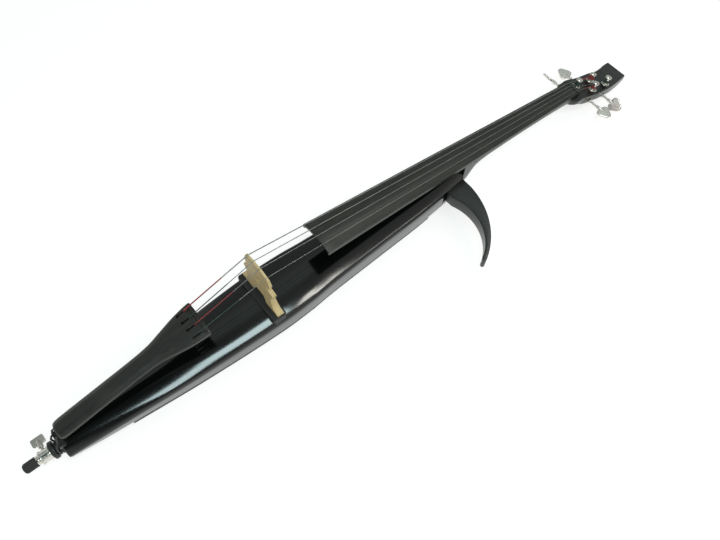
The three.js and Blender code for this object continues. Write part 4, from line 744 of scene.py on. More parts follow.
makeBody()
makeHorn()
print("body and bout arm made")

# Back housing with its lid and screws
housing = dict(
    inset=11.0, start=-255.0, end=322.0, wall=3.0, floor=3.4, edge=2.5, stations=60,
    edgeSteps=5, screwRadius=1.7, screwHead=3.4, screwHeadHeight=2.0, screwSink=0.6,
    pillar=5.4, battery=48.5, pole=3.0, sharp=0.01,
    headFoot=0.9, headRound=0.2, headStep=0.5, crossArm=0.62, crossSlot=0.14,
    crossDepth=1.2, threadPast=8,
)
lid = dict(
    width=32.0, low=4.2, high=22.0, thick=2.0, barrel=1.7, ribs=5, ribsLow=7.0, ribsHigh=2.0,
    ribHalf=0.25, ribReach=6.0, ribDepth=0.35,
)


def housingWidth(x):
    return bodyWidth(x) - housing["inset"]


def housingRing(x, inset, low, high, rounded):
    width = housingWidth(x) - inset
    edge = housing["edge"] if rounded else housing["sharp"]
    half = [(0, low)]
    for turn in quarterTurns(housing["edgeSteps"]):
        half.append((width - edge + edge * sin(turn), low + edge * (1 - cos(turn))))
    half += [(width, high), (0, high)]
    return mirroredRing(x, half, -1)


def housingSpan(start, end, inset, low, high, rounded):
    places = evenly(start, end, housing["stations"])
    return loftRings([housingRing(x, inset, low, high, rounded) for x in places])


def screwPlaces():
    inside = housing["wall"] / 2 + housing["pillar"]
    clear = housing["battery"] + housing["pole"] + housing["pillar"]
    places = []
    for x in (housing["start"] + inside + clear, housing["end"] - inside):
        for side in (-1, 1):
            places.append((x, side * (housingWidth(x) - inside)))
    return places


def makeHousing():
    h = housing
    outer = housingSpan(h["start"], h["end"], 0, 0, housingDepth - clearance, True)
    inner = housingSpan(h["start"] + h["wall"], h["end"] - h["wall"], h["wall"], h["floor"],
                        housingDepth + overrun, False)
    doorway = blockShape(
        (h["start"] - overrun, -lid["width"] / 2 - clearance, lid["low"] - lid["barrel"] - clearance),
        (h["start"] + h["wall"] + overrun, lid["width"] / 2 + clearance, lid["high"] + clearance))
    cuts = [inner, doorway]
    for x, y in screwPlaces():
        deep = h["screwSink"] + h["screwHeadHeight"] + clearance
        cuts.append(shifted(rodShape(h["screwHead"] + clearance, -overrun, deep), x, y))
    addPiece("housing_shell", outer, "mouldedBlack", covers=["back_housing"], edge=0.4, angle=40, cuts=cuts)
    for i, (x, y) in enumerate(screwPlaces()):
        makeScrew(f"housing_screw_head_{i + 1}", f"housing_screw_{i + 1}", x, y)


def makeScrew(name, node, x, y):
    h = housing
    low = h["screwSink"]
    top = low + h["screwHeadHeight"]
    profile = [(0, low), (h["screwHead"] - h["headFoot"], low),
               (h["screwHead"] - h["headRound"], low + h["headStep"]), (h["screwHead"], top),
               (h["screwRadius"], top), (h["screwRadius"], housingDepth + h["threadPast"]),
               (0, housingDepth + h["threadPast"] + 1)]
    arm = h["screwHead"] * h["crossArm"]
    slot = h["screwHead"] * h["crossSlot"]
    cross = [shifted(blockShape((-a, -b, low - overrun), (a, b, low + h["crossDepth"])), x, y)
             for a, b in ((arm, slot), (slot, arm))]
    addPiece(name, shifted(turnedShape(profile, "z", steps=32), x, y), "satinSteel", covers=[node], edge=0.1,
             cuts=cross)


def makeLid():
    x = housing["start"]
    half = lid["width"] / 2
    plate = blockShape((x, -half, lid["low"]), (x + lid["thick"], half, lid["high"]))
    barrel = shifted(rodShape(lid["barrel"], -half, half, "y", steps=24), x + lid["barrel"], 0, lid["low"])
    piece = carve(objectFrom("lid", plate), [barrel], "UNION")
    grooves = []
    for z in evenly(lid["high"] - lid["ribsLow"], lid["high"] - lid["ribsHigh"], lid["ribs"] - 1):
        grooves.append(blockShape((x - overrun, -lid["ribReach"], z - lid["ribHalf"]),
                                  (x + lid["ribDepth"], lid["ribReach"], z + lid["ribHalf"])))
    carve(piece, grooves)
    eased(piece, width=0.2)
    dress(piece, "mouldedBlack", "battery_lid", ["battery_lid"])


makeHousing()
makeLid()
print("housing made")

# Endpin hardware
endpin = dict(
    washer=12.4, washerThick=3.6, groove=8.7, grooveWidth=5.6, flange=13.6,
    flangeThick=6.0, socket=10.5, waist=9.4, socketLength=16.5, shank=8.5,
    shankLength=24.0, ferrule=7.3, ferruleLength=4.6, tip=7.6, tipRound=4.4,
    reach=402.0, rod=5.0, rodInside=330.0, tipCore=10.0, bore=5.07, steps=64,
    screwHole=2.2, screwHoleDepth=16, rodChamfer=0.6, flangeRim=1.2, grooveRim=0.8,
    washerRim=0.9, ferruleRim=0.7, smallRim=0.5, fit=0.1, beadSteps=6, beadApart=3.4,
    tipSteps=10,
)
washerEnd = clearance - tailX + endpin["washerThick"]
grooveEnd = washerEnd + endpin["grooveWidth"]
flangeEnd = grooveEnd + endpin["flangeThick"]
socketStart = flangeEnd + clearance
socketEnd = socketStart + endpin["socketLength"]
ferruleEnd = socketEnd + clearance + endpin["ferruleLength"]
socketMiddle = (socketStart + socketEnd) / 2


def onEndpin(name, profile, finish, body="instrument", covers=(), cuts=()):
    shape = shifted(turnedShape(profile, "x", endpin["steps"]), z=endpinZ)
    return addPiece(name, shape, finish, body, covers, angle=35, cuts=cuts)


def makeEndpin():
    e = endpin
    bore = e["bore"]
    foot = -washerEnd - clearance
    inner = e["shankLength"] + tailX
    onEndpin("endpin_flange", [
        (bore, -flangeEnd), (e["flange"], -flangeEnd, e["flangeRim"]),
        (e["flange"], -grooveEnd, -e["grooveRim"]), (e["groove"], -grooveEnd), (e["groove"], foot),
        (e["shank"], foot), (e["shank"], inner), (bore, inner), (bore, -flangeEnd)],
        "mouldedBlack", covers=["endpin_collar"])
    ring = e["shank"] + e["fit"]
    front = tailX - clearance
    onEndpin("endpin_ring", [
        (ring, -washerEnd), (e["washer"], -washerEnd, e["washerRim"]), (e["washer"], front), (ring, front),
        (ring, -washerEnd)], "mouldedBlack", covers=["endpin_washer"])
    wide = e["socket"]
    bead = wide - e["waist"]
    steps = e["beadSteps"]
    apart = e["beadApart"] * bead
    hole = shifted(rodShape(e["screwHole"], 0, e["screwHoleDepth"], "y", steps=24),
                   -socketMiddle, 0, endpinZ)
    onEndpin("endpin_holder", [
        (bore, -socketEnd), (wide, -socketEnd, bead, steps), (wide, -socketEnd + 3 * bead, -bead, steps),
        (e["waist"], -socketEnd + apart), (e["waist"], -socketStart - apart),
        (wide, -socketStart - 3 * bead, bead, steps), (wide, -socketStart, -bead, steps),
        (bore, -socketStart), (bore, -socketEnd)], "chrome", covers=["endpin_socket"], cuts=[hole])
    core = e["tipCore"] - e["reach"]
    inside = e["rodInside"] - socketEnd
    onEndpin("endpin_shaft", [
        (0, core), (e["rod"], core), (e["rod"], inside - e["rodChamfer"]),
        (e["rod"] - e["rodChamfer"], inside), (0, inside)], "satinSteel", "endpin", ["endpin_rod"])
    front = -socketEnd - clearance
    onEndpin("endpin_cap", [
        (bore, -ferruleEnd), (e["ferrule"], -ferruleEnd, e["smallRim"]),
        (e["ferrule"], front, -e["ferruleRim"]), (bore, front), (bore, -ferruleEnd)],
        "chrome", "endpin", ["endpin_ferrule"])
    front = -ferruleEnd - clearance
    onEndpin("endpin_foot", [
        (0, -e["reach"]), (e["tip"], -e["reach"], e["tipRound"], e["tipSteps"]),
        (e["tip"], front, -e["smallRim"]),
        (bore, front), (bore, core - clearance), (0, core - clearance)],
        "softBlack", "endpin", ["endpin_tip"])


thumbScrew = dict(
    out=24.5, length=13.0, width=19.0, thick=4.0, round=2.5, rim=1.1, waist=0.72,
    hub=3.8, hubLength=5.0, hubRim=0.6, hubTip=2.4, hubShort=2, tipPast=1, shank=2.1,
    overlap=0.5,
)


def makeThumbScrew():
    t = thumbScrew
    outline = roundedOutline(t["width"], t["length"], t["round"])
    wing = plateShape([outline], -t["thick"] / 2, t["thick"] / 2, t["rim"], 4)
    points, faces = shifted(wing, y=t["out"])
    # thinner between the two ears
    waisted = [(x, y, z * mix(t["waist"], 1, min(1, abs(x) / (t["width"] / 2)))) for x, y, z in points]
    start = t["out"] - t["length"] / 2 - t["hubLength"]
    tip = t["out"] + t["tipPast"]
    hub = [(0, start), (t["hub"], start, t["hubRim"]), (t["hub"], t["out"] - t["hubShort"]),
           (t["hubTip"], tip), (0, tip)]
    low = endpin["rod"] + clearance
    high = start + t["overlap"]
    shank = [(0, low), (t["shank"] - clearance, low), (t["shank"], low + clearance), (t["shank"], high),
             (0, high)]
    shape = together((waisted, faces), turnedShape(hub, "y", steps=32), turnedShape(shank, "y", steps=24))
    addPiece("thumb_screw_wing", shifted(shape, -socketMiddle, 0, endpinZ), "satinSteel",
             "thumb_screw", ["thumb_screw"])


makeEndpin()
makeThumbScrew()
print("endpin made")

# Heights of the strings, fingerboard and head
stringLine = dict(bridgeCurve=54.7, nutCurve=62.0, bridgeHeight=89.8, nutDrop=14.6, action=1.2)
board = dict(
    start=101.0, freeHalf=31.5, nutHalf=16.0, freeHeight=55.5, edge=6.5, scoop=3.2,
    steps=28, stations=40,
)


# How far a crown has fallen at Y, at the bridge and at the nut
def bridgeFall(y):
    return stringLine["bridgeCurve"] - sqrt(stringLine["bridgeCurve"] ** 2 - y**2)


def nutFall(y):
    return stringLine["nutCurve"] - sqrt(stringLine["nutCurve"] ** 2 - y**2)


bridgeCrown = belly + stringLine["bridgeHeight"] + bridgeFall(strings["g"]["bridgeY"])
nutCrown = belly - stringLine["nutDrop"] + nutFall(strings["g"]["nutY"])
boardNutEdge = nutCrown - stringLine["action"] - nutFall(board["nutHalf"])


def boardShare(x):
    return (x - board["start"]) / (nutX - board["start"])


def boardHalf(x):
    return mix(board["freeHalf"], board["nutHalf"], boardShare(x))


def boardEdge(x):
    return mix(belly + board["freeHeight"], boardNutEdge, boardShare(x))


def boardUnder(x):
    return boardEdge(x) - board["edge"]


def boardRing(x, inset=0.0, under=0.0):
    half = boardHalf(x) - inset
    low = boardUnder(x) - under
    ring = []
    for i in range(board["steps"] + 1):
        y = half * (2 * i / board["steps"] - 1)
        ring.append((x, y, boardEdge(x) + (nutFall(half) - nutFall(y)) - inset))
    return ring + [(x, half, low), (x, -half, low)]


def makeBoard():
    rings = [boardRing(x) for x in evenly(board["start"], nutX - clearance, board["stations"])]
    hollow = loftRings([boardRing(x, board["scoop"], overrun)
                        for x in (board["start"] - overrun, neckX - 2 * overrun)])
    addPiece("playing_board", loftRings(rings), "boardEbony", covers=["fingerboard"], edge=0.9, steps=4,
             angle=40, cuts=[hollow])


# Neck and head
neck = dict(
    room=0.3, heelDepth=61.0, edge=0.8, steps=44, headStations=64,
    stations=[i * 0.0115 for i in range(80)] + [0.92 + i * 0.0025 for i in range(33)],
    bassFlare=8.0, trebleFlare=11.0,
    flareShares=[(0, 0), (0.935, 0), (0.955, 0.7), (0.975, 1), (1, 1)],
    depthShares=[(0, 1), (0.03, 0.93), (0.055, 0.8), (0.095, 0.48), (0.13, 0.4), (0.21, 0.36),
                 (0.5, 0.345), (0.9, 0.33), (1, 0.35)],
    squareShares=[(0, 5), (0.08, 3.4), (0.2, 2.2), (0.94, 2.2), (1, 2.6)],
)
head = dict(
    length=147.0, half=27.0, thick=21.5,
    bassShares=[(0, 0.9), (0.04, 0.92), (0.09, 0.9), (0.17, 0.81), (0.26, 0.74), (0.39, 0.7),
                (0.5, 0.675), (0.63, 0.575), (0.77, 0.64), (0.86, 0.74), (1, 0.82)],
    trebleShares=[(0, 0.98), (0.09, 1.04), (0.2, 1.11), (0.32, 1.167), (0.44, 1.167), (0.57, 1.148),
                  (0.71, 1.074), (0.85, 0.963), (1, 0.82)],
    depthShares=[(0, 1.2), (0.1, 1.12), (0.22, 1), (0.68, 0.98), (0.86, 0.86), (1, 0.66)],
    squareShares=[(0, 3.4), (0.12, 7), (1, 9)],
)
headStart = nutX + cello["nutThick"]
headFace = boardUnder(nutX) - clearance
tilt = cello["headTilt"]
headMatrix = Matrix.Translation((headStart, 0, headFace)) @ Matrix.Rotation(tilt, 4, "Y")


def neckSection(x, bass, treble, top, depth, squareness):
    square = 2 / squareness
    ring = [(x, bass - neck["edge"], top), (x, neck["edge"] - treble, top)]
    for i in range(neck["steps"] + 1):
        turn = pi * i / neck["steps"]
        across = cos(turn)
        reach = treble if across > 0 else bass
        y = -copysign(1, across) * reach * abs(across) ** square
        drop = max(sin(turn), 0) ** square
        ring.append((x, y, top - neck["edge"] - (depth - neck["edge"]) * drop))
    return ring


def neckRings():
    rings = []
    start = neckX + clearance
    for share in neck["stations"]:
        x = mix(start, nutX, share)
        half = boardHalf(x) - neck["room"]
        flare = smoothShare(neck["flareShares"], share)
        rings.append(neckSection(x, half + neck["bassFlare"] * flare, half + neck["trebleFlare"] * flare,
                                 boardUnder(x) - clearance,
                                 neck["heelDepth"] * smoothShare(neck["depthShares"], share),
                                 smoothShare(neck["squareShares"], share)))
    run = head["length"] * cos(tilt)
    for i in range(neck["headStations"] + 1):
        share = i / neck["headStations"]
        rings.append(neckSection(headStart + run * share,
                                 head["half"] * smoothShare(head["bassShares"], share),
                                 head["half"] * smoothShare(head["trebleShares"], share),
                                 headFace - run * share * tan(tilt),
                                 head["thick"] * smoothShare(head["depthShares"], share),
                                 smoothShare(head["squareShares"], share)))
    return rings


# Tuning machines, drawn in the head's own axes
gear = dict(
    teeth=20, module=0.7, wormRadius=3.5, up=0.6, down=0.9, slack=0.3, turns=3.25,
    turnSteps=28, thick=5.0, level=-15.0, room=0.6, wormLength=11.0, shaft=2.4,
    journal=1.7, journalLength=2.5, bush=3.6, bushFlange=4.4, bushThick=1.4,
    bushLength=3.4, bushRim=0.6, bushChamfer=0.2, bushFit=0.1, wheelFit=0.08,
    taperSteps=8, threadFoot=0.1, flankFoot=1.5,
)
key = dict(
    out=12.0, hub=3.6, hubLength=7.0, radius=14.4, lobeShare=0.13, thick=4.4,
    rim=1.5, steps=96, hubRim=0.9, spine=2.9, spineTip=2.4, spineStart=3.2,
    spineTaper=0.8,
)
post = dict(
    shaft=3.6, foot=2.7, rivet=4.4, rivetThick=1.5, drum=3.5, flange=5.2, cap=6.0,
    capThick=2.0, capDome=1.4, drumStart=3.6, drumLength=10.4, collar=8.0,
    collarThick=2.0, sleeve=5.2, sleeveLength=6.0, steps=48, rivetRim=0.9,
    flangeRim=0.4, capFootRim=0.7, capRim=0.8, domeInset=1.2, drumWaist=0.15, fit=0.1,
    slotHalf=0.6, slotFoot=0.5, collarSteps=6, collarPast=0.6, collarDrop=0.9,
    domeSteps=6,
)
winding = dict(turns=3, steps=36, between=0.5, seat=0.25)
ball = dict(half=2, radius=1.9, side=1.4, end=1.4)
wheelRadius = gear["module"] * gear["teeth"] / 2
wormLead = pi * gear["module"]
machines = dict(
    g=dict(along=0.088, across=0.093, side=1, reach=1.0, turn=0.5),
    a=dict(along=0.263, across=-0.704, side=-1, reach=1.5, turn=0.25),
    c=dict(along=0.383, across=0.056, side=1, reach=1.0, turn=-0.2),
    d=dict(along=0.541, across=-0.722, side=-1, reach=1.1, turn=1.25),
)
for machine in machines.values():
    machine["x"] = head["length"] * machine["along"]
    machine["y"] = head["half"] * machine["across"]
    machine["wormX"] = machine["x"] - wheelRadius - gear["wormRadius"]
    shares = head["bassShares"] if machine["side"] > 0 else head["trebleShares"]
    machine["edge"] = head["half"] * smoothShare(shares, machine["wormX"] / head["length"])
    machine["keyStart"] = machine["edge"] + key["out"] * machine["reach"]


def acrossRod(machine, radius, start, end):
    low, high = sorted((machine["side"] * start, machine["side"] * end))
    return shifted(rodShape(radius, low, high, "y"), machine["wormX"], 0, gear["level"])


def onPost(shape, machine, z=0.0):
    return shifted(shape, machine["x"], machine["y"], z)


def headCuts():
    g = gear
    cuts = []
    below = -2 * head["thick"]
    top = g["level"] + g["thick"] / 2 + g["room"]
    room = g["wormRadius"] + g["up"] + g["room"]
    reach = g["wormLength"] / 2 + g["room"]
    for machine in machines.values():
        x = machine["wormX"]
        y = machine["y"]
        edge = machine["edge"]
        for radius, low, high in ((wheelRadius + g["up"] + g["room"], below, top),
                                  (post["sleeve"] + post["fit"], -post["sleeveLength"] - clearance, overrun),
                                  (post["shaft"] + clearance, top - clearance, overrun)):
            cuts.append(onPost(rodShape(radius, low, high, "z", steps=40), machine))
        cuts.append(blockShape((x - room, y - reach, below), (x + room, y + reach, g["level"] + room)))
        cuts.append(acrossRod(machine, g["bush"] + g["bushFit"], machine["side"] * y, edge + overrun))
        cuts.append(acrossRod(machine, g["bushFlange"] + clearance, edge, edge + overrun))
    return [placed(cut, headMatrix) for cut in cuts]


def makeNeck():
    addPiece("neck_and_head", loftRings(neckRings()), "satinBlack", covers=["neck"], edge=0.7, steps=3,
             angle=42, cuts=headCuts())


def addMachinePiece(name, shape, finish, body, covers, edge=0.0, cuts=(), angle=35):
    return addPiece(name, placed(shape, headMatrix), finish, body, covers, edge, 2, angle,
                    [placed(cut, headMatrix) for cut in cuts])


def makePost(name, machine):
    p = post
    foot = gear["level"] - gear["thick"] / 2 - clearance
    rivet = foot - p["rivetThick"]
    seat = gear["level"] + gear["thick"] / 2 + clearance
    rest = p["collarThick"] + clearance
    start = p["drumStart"]
    end = start + p["drumLength"]
    top = end + p["capThick"]
    dome = p["cap"] - p["domeInset"]
    profile = [(0, rivet), (p["rivet"], rivet, p["rivetRim"]), (p["rivet"], foot), (p["foot"], foot),
               (p["foot"], seat), (p["shaft"], seat), (p["shaft"], rest),
               (p["flange"], rest, p["flangeRim"]), (p["flange"], start, -p["flangeRim"]),
               (p["drum"], start + p["fit"]), (p["drum"] - p["drumWaist"], mix(start, end, 0.5)),
               (p["drum"], end - p["fit"]), (p["cap"], end, p["capFootRim"]), (p["cap"], top, -p["capRim"])]
    profile += [(dome * cos(turn), top + p["capDome"] * sin(turn))
                for turn in quarterTurns(p["domeSteps"], 1)]
    slot = blockShape((-p["slotHalf"], -p["cap"] * 0.5, top + p["slotFoot"]),
                      (p["slotHalf"], p["cap"] * 0.5, end + overrun))
    addMachinePiece(f"post_{name}_turned", onPost(turnedShape(profile, "z", p["steps"]), machine), "chrome",
                    f"post_{name}", [f"string_post_{name}"], cuts=[onPost(slot, machine)])


def makeCollar(name, machine):
    p = post
    bore = p["shaft"] + p["fit"]
    rim = p["flangeRim"]
    collar = [(bore, -p["sleeveLength"]), (p["sleeve"], -p["sleeveLength"]), (p["sleeve"], clearance),
              (p["collar"] - rim, clearance), (p["collar"], clearance + rim)]
    for share in evenly(0, 1, p["collarSteps"]):
        drop = cos(share * pi / 2)
        collar.append((mix(p["collar"], p["flange"] + p["collarPast"], share),
                       p["collarThick"] - p["collarDrop"] * drop**2))
    collar += [(bore, p["collarThick"]), (bore, -p["sleeveLength"])]
    addMachinePiece(f"post_{name}_collar", onPost(turnedShape(collar, "z", p["steps"]), machine), "chrome",
                    "instrument", [f"post_collar_{name}"])


def wheelOutline(turn):
    points = []
    root = wheelRadius - gear["down"]
    tip = wheelRadius + gear["up"]
    half = (pi * gear["module"] / 2 - gear["slack"]) / wheelRadius / 2
    for i in range(gear["teeth"]):
        middle = pi + 2 * pi * (i + 0.5) / gear["teeth"] + turn
        flank = [(-pi / gear["teeth"], root), (-half * gear["flankFoot"], root), (-half, wheelRadius),
                 (-half * 0.5, tip), (half * 0.5, tip), (half, wheelRadius),
                 (half * gear["flankFoot"], root)]
        points += [(r * cos(middle + a), r * sin(middle + a)) for a, r in flank]
    return points


def makeWheel(name, machine):
    g = gear
    thick = g["thick"]
    twist = wormLead / (2 * pi * g["wormRadius"] * wheelRadius)
    rings = [[(x, y, z) for x, y in wheelOutline(twist * z)] for z in evenly(-thick / 2, thick / 2, 4)]
    bore = rodShape(post["foot"] + g["wheelFit"], -thick, thick)
    addMachinePiece(f"wheel_{name}_toothed", onPost(loftRings(rings), machine, g["level"]), "brass",
                    f"post_{name}", [f"string_wheel_{name}"], edge=0.08,
                    cuts=[onPost(bore, machine, g["level"])])


def wormThread(machine):
    rings = []
    steps = round(gear["turns"] * gear["turnSteps"])
    root = gear["wormRadius"] - gear["down"] - gear["slack"]
    tip = gear["wormRadius"] + gear["up"]
    pitchWidth = wormLead / 2 - gear["slack"]
    rootHalf = (pitchWidth + gear["down"]) / 2
    tipHalf = (pitchWidth - gear["up"]) / 2
    for i in range(steps + 1):
        turns = i / gear["turnSteps"] - gear["turns"] / 2
        turn = 2 * pi * turns
        taper = min(1, i / gear["taperSteps"], (steps - i) / gear["taperSteps"])
        high = mix(root + gear["threadFoot"], tip, taper)
        ring = []
        for radius, side in ((root, -rootHalf), (high, -tipHalf), (high, tipHalf), (root, rootHalf)):
            ring.append((machine["wormX"] + radius * cos(turn), machine["y"] + wormLead * turns + side,
                         gear["level"] - radius * sin(turn)))
        rings.append(ring)
    return loftRings(rings)


def keyBlade(start):
    k = key
    hubEnd = start + k["hubLength"]
    spineEnd = hubEnd + k["radius"] / 2
    outline = []
    for i in range(k["steps"]):
        turn = 2 * pi * i / k["steps"]
        radius = k["radius"] * (1 - k["lobeShare"] + k["lobeShare"] * cos(3 * turn))
        outline.append((radius * sin(turn), radius * cos(turn)))
    plate = plateShape([list(reversed(outline))], -k["thick"] / 2, k["thick"] / 2, k["rim"], 5)
    hub = [(0, start), (k["hub"], start, k["hubRim"]), (k["hub"], hubEnd),
           (k["spine"], hubEnd + k["spineStart"]), (k["spineTip"], spineEnd - k["spineTaper"]),
           (0, spineEnd)]
    middle = start + k["hubLength"] / 2 + k["radius"]
    return together(shifted(plate, y=middle), turnedShape(hub, "y", steps=40))


def makeKey(name, machine):
    g = gear
    start = machine["keyStart"]
    flip = Matrix.Rotation(pi if machine["side"] < 0 else 0, 4, "Z")
    blade = placed(keyBlade(start), flip @ Matrix.Rotation(machine["turn"], 4, "Y"))
    middle = machine["side"] * machine["y"]
    half = g["wormLength"] / 2
    shaft = [acrossRod(machine, radius, low, high) for radius, low, high in (
        (g["wormRadius"] - g["down"] - g["slack"] / 2, middle - half, middle + half),
        (g["shaft"], middle + half - clearance, start + key["hubLength"] / 2),
        (g["journal"], middle - half - g["journalLength"], middle - half + clearance))]
    shape = together(shifted(blade, machine["wormX"], 0, g["level"]), *shaft, wormThread(machine))
    addMachinePiece(f"key_{name}_turned", shape, "keySteel", f"key_{name}", [f"tuning_key_{name}"])
    bore = g["shaft"] + g["bushFit"]
    rim = g["bushChamfer"]
    bush = [(bore, -g["bushLength"]), (g["bush"], -g["bushLength"]), (g["bush"], 0),
            (g["bushFlange"] - rim, 0), (g["bushFlange"], rim),
            (g["bushFlange"], g["bushThick"], -g["bushRim"]), (bore, g["bushThick"]),
            (bore, -g["bushLength"])]
    seat = shifted(placed(turnedShape(bush, "y", steps=40), flip), machine["wormX"],
                   machine["side"] * (machine["edge"] + clearance), g["level"])
    addMachinePiece(f"key_{name}_bush", seat, "chrome", "instrument", [f"key_bushing_{name}"])


makeBoard()
makeNeck()
print("board and neck made")
for name, machine in machines.items():
    makePost(name, machine)
    makeCollar(name, machine)
    makeWheel(name, machine)
    makeKey(name, machine)
print("machines made")

# Strings, each from its ball to the turns round its post
tailpiece = dict(
    front=100.0, length=236.0, half=29.5, thick=9.0, ridge=3.0, ridgeShare=0.93,
    bevel=2.2, rear=10.5, frontTop=55.6, fret=104.4, fretHalf=25.0, fretThick=3.0,
    fretSunk=1.4, afterHeight=58.9, keyhole=2.3, slot=2.2, keyholeBack=24.0,
    keyholeFront=10.0, endShare=0.012, ridgeSteps=6, fretCrown=0.4,
    endSteps=3, stations=96, bevelShares=(0.4, 0.38, 0.35), lowStep=0.3,
    widthShares=[(0, 0.39), (0.02, 0.455), (0.06, 0.48), (0.3, 0.48), (0.58, 0.485), (0.68, 0.545),
                 (0.78, 0.72), (0.87, 0.875), (0.95, 0.96), (1, 0.985)],
)
gut = dict(radius=1.4, spread=6.0, turnSteps=12, entry=14.0, sides=16, bend=1.5)
tailEnd = tailpiece["front"] + tailpiece["length"]
fretTop = belly + tailpiece["afterHeight"]


def tailTop(x):
    share = (x + tailEnd) / tailpiece["length"]
    return belly + mix(tailpiece["rear"], tailpiece["frontTop"], share)


def windingPath(name):
    machine = machines[name]
    radius = strings[name]["radius"]
    around = post["drum"] + winding["seat"] + radius
    pitch = 2 * radius + winding["between"]
    low = post["drumStart"] + clearance + radius
    path = []
    for i in range(winding["turns"] * winding["steps"] + 1):
        turn = pi / 2 - 2 * pi * i / winding["steps"]
        place = (machine["x"] + around * cos(turn), machine["y"] + around * sin(turn),
                 low + pitch * i / winding["steps"])
        path.append(headMatrix @ Vector(place))
    return path


def stringCorners(name):
    string = strings[name]
    slotX = -tailpiece["front"] - tailpiece["keyholeFront"] - tailpiece["slot"]
    ballX = slotX - tailpiece["slot"]
    ballZ = tailTop(ballX - ball["half"]) - tailpiece["thick"] - ball["half"] - clearance
    bridgeZ = bridgeCrown - bridgeFall(string["bridgeY"])
    nutZ = nutCrown - nutFall(string["nutY"])
    return [
        Vector((ballX, string["tailY"], ballZ)),
        Vector((slotX, string["tailY"], tailTop(slotX) + tailpiece["ridge"])),
        Vector((-tailpiece["fret"], string["tailY"], fretTop + string["radius"])),
        Vector((0, string["bridgeY"], bridgeZ)),
        Vector((nutX, string["nutY"], nutZ)),
    ]


# Rounds the bends of a path where it goes over the fret, the bridge and the nut
def softened(corners, reach=2.0, steps=4):
    path = [corners[0]]
    for before, corner, after in zip(corners, corners[1:], corners[2:]):
        a = corner + (before - corner).normalized() * min(reach, (before - corner).length / 2)
        b = corner + (after - corner).normalized() * min(reach, (after - corner).length / 2)
        path += [bent(a, corner, b, i / steps) for i in range(steps + 1)]
    path.append(corners[-1])
    return path


silk = dict(tailEnd=-46.0, proud=0.12, headStart=22.0, headShare=0.6)
stringSides = 14
grooveSides = 12


def makeStrings():
    half = ball["half"]
    profile = [(0, -half), (ball["end"], -half), (ball["radius"], -ball["side"]),
               (ball["radius"], ball["side"]), (ball["end"], half), (0, half)]
    for name, string in strings.items():
        corners = stringCorners(name)
        turns = windingPath(name)
        path = softened(corners + [turns[0]])[:-1] + turns
        line = tubeShape(path, string["radius"], stringSides)
        shape = together(line, shifted(turnedShape(profile, "y", steps=24), *path[0]))
        addPiece(f"string_{name}_wound", shape, "woundSteel", covers=[f"string_{name}"])
        tailRun = [p for p in path if p.x < silk["tailEnd"]]
        fret = tailRun[-1]
        toBridge = corners[3] - fret
        tailRun.append(fret + toBridge * ((silk["tailEnd"] - fret.x) / toBridge.x))
        away = turns[0] - corners[4]
        start = turns[0] - away.normalized() * min(silk["headStart"], away.length * silk["headShare"])
        radius = string["radius"] + silk["proud"]
        addPiece(f"string_{name}_tail_silk", tubeShape(tailRun[1:], radius, stringSides), string["tailSilk"])
        headRun = [start] + turns
        addPiece(f"string_{name}_head_silk", tubeShape(headRun, radius, stringSides), string["headSilk"])


# Nut, bridge and its base
def crossOutline(half, low, topAt, steps=40):
    sides = [half * (1 - 2 * i / steps) for i in range(steps + 1)]
    return [(-half, low), (half, low)] + [(y, topAt(y)) for y in sides]


def stringGrooves():
    return [tubeShape(softened(stringCorners(name)), string["radius"] + clearance / 2, grooveSides)
            for name, string in strings.items()]


def makeNut():
    low = headFace + clearance
    outline = crossOutline(board["nutHalf"], low, lambda y: nutCrown - nutFall(y))
    shape = standing(plateShape([outline], nutX, headStart - clearance, 0.5))
    addPiece("nut_ebony", shape, "boardEbony", covers=["nut"], cuts=stringGrooves())


bridge = dict(
    foot=45.7, thick=11.6, topThick=3.2, topHalf=27.0, rim=0.6, curveSteps=10,
    outline=[
        [(1, 0.035)], [(0.82, 0.05), (0.74, 0.13)], [(0.67, 0.2), (0.65, 0.33)],
        [(0.66, 0.42), (0.78, 0.48)], [(0.82, 0.53), (0.72, 0.57)], [(0.6, 0.58), (0.52, 0.6)],
        [(0.46, 0.63), (0.54, 0.66)], [(0.7, 0.7), (0.66, 0.8)]],
    archShares=[(0.4, 0), (0.33, 0.02), (0.3, 0.08), (0.22, 0.17), (0, 0.18)],
    heartShares=[(0, 0.4), (0.09, 0.46), (0.13, 0.52), (0.1, 0.585), (0.045, 0.58), (0, 0.54)],
)


def throughPoints(points, closed=False, steps=5):
    smoothed = []
    count = len(points)
    for i in range(count if closed else count - 1):
        p = []
        for k in (-1, 0, 1, 2):
            at = (i + k) % count if closed else min(max(i + k, 0), count - 1)
            p.append(Vector(points[at]))
        square = 2 * p[0] - 5 * p[1] + 4 * p[2] - p[3]
        cube = 3 * p[1] - p[0] - 3 * p[2] + p[3]
        for s in range(steps):
            u = s / steps
            smoothed.append(tuple(0.5 * (2 * p[1] + (p[2] - p[0]) * u + square * u**2 + cube * u**3)))
    if not closed:
        smoothed.append(tuple(points[-1]))
    return smoothed


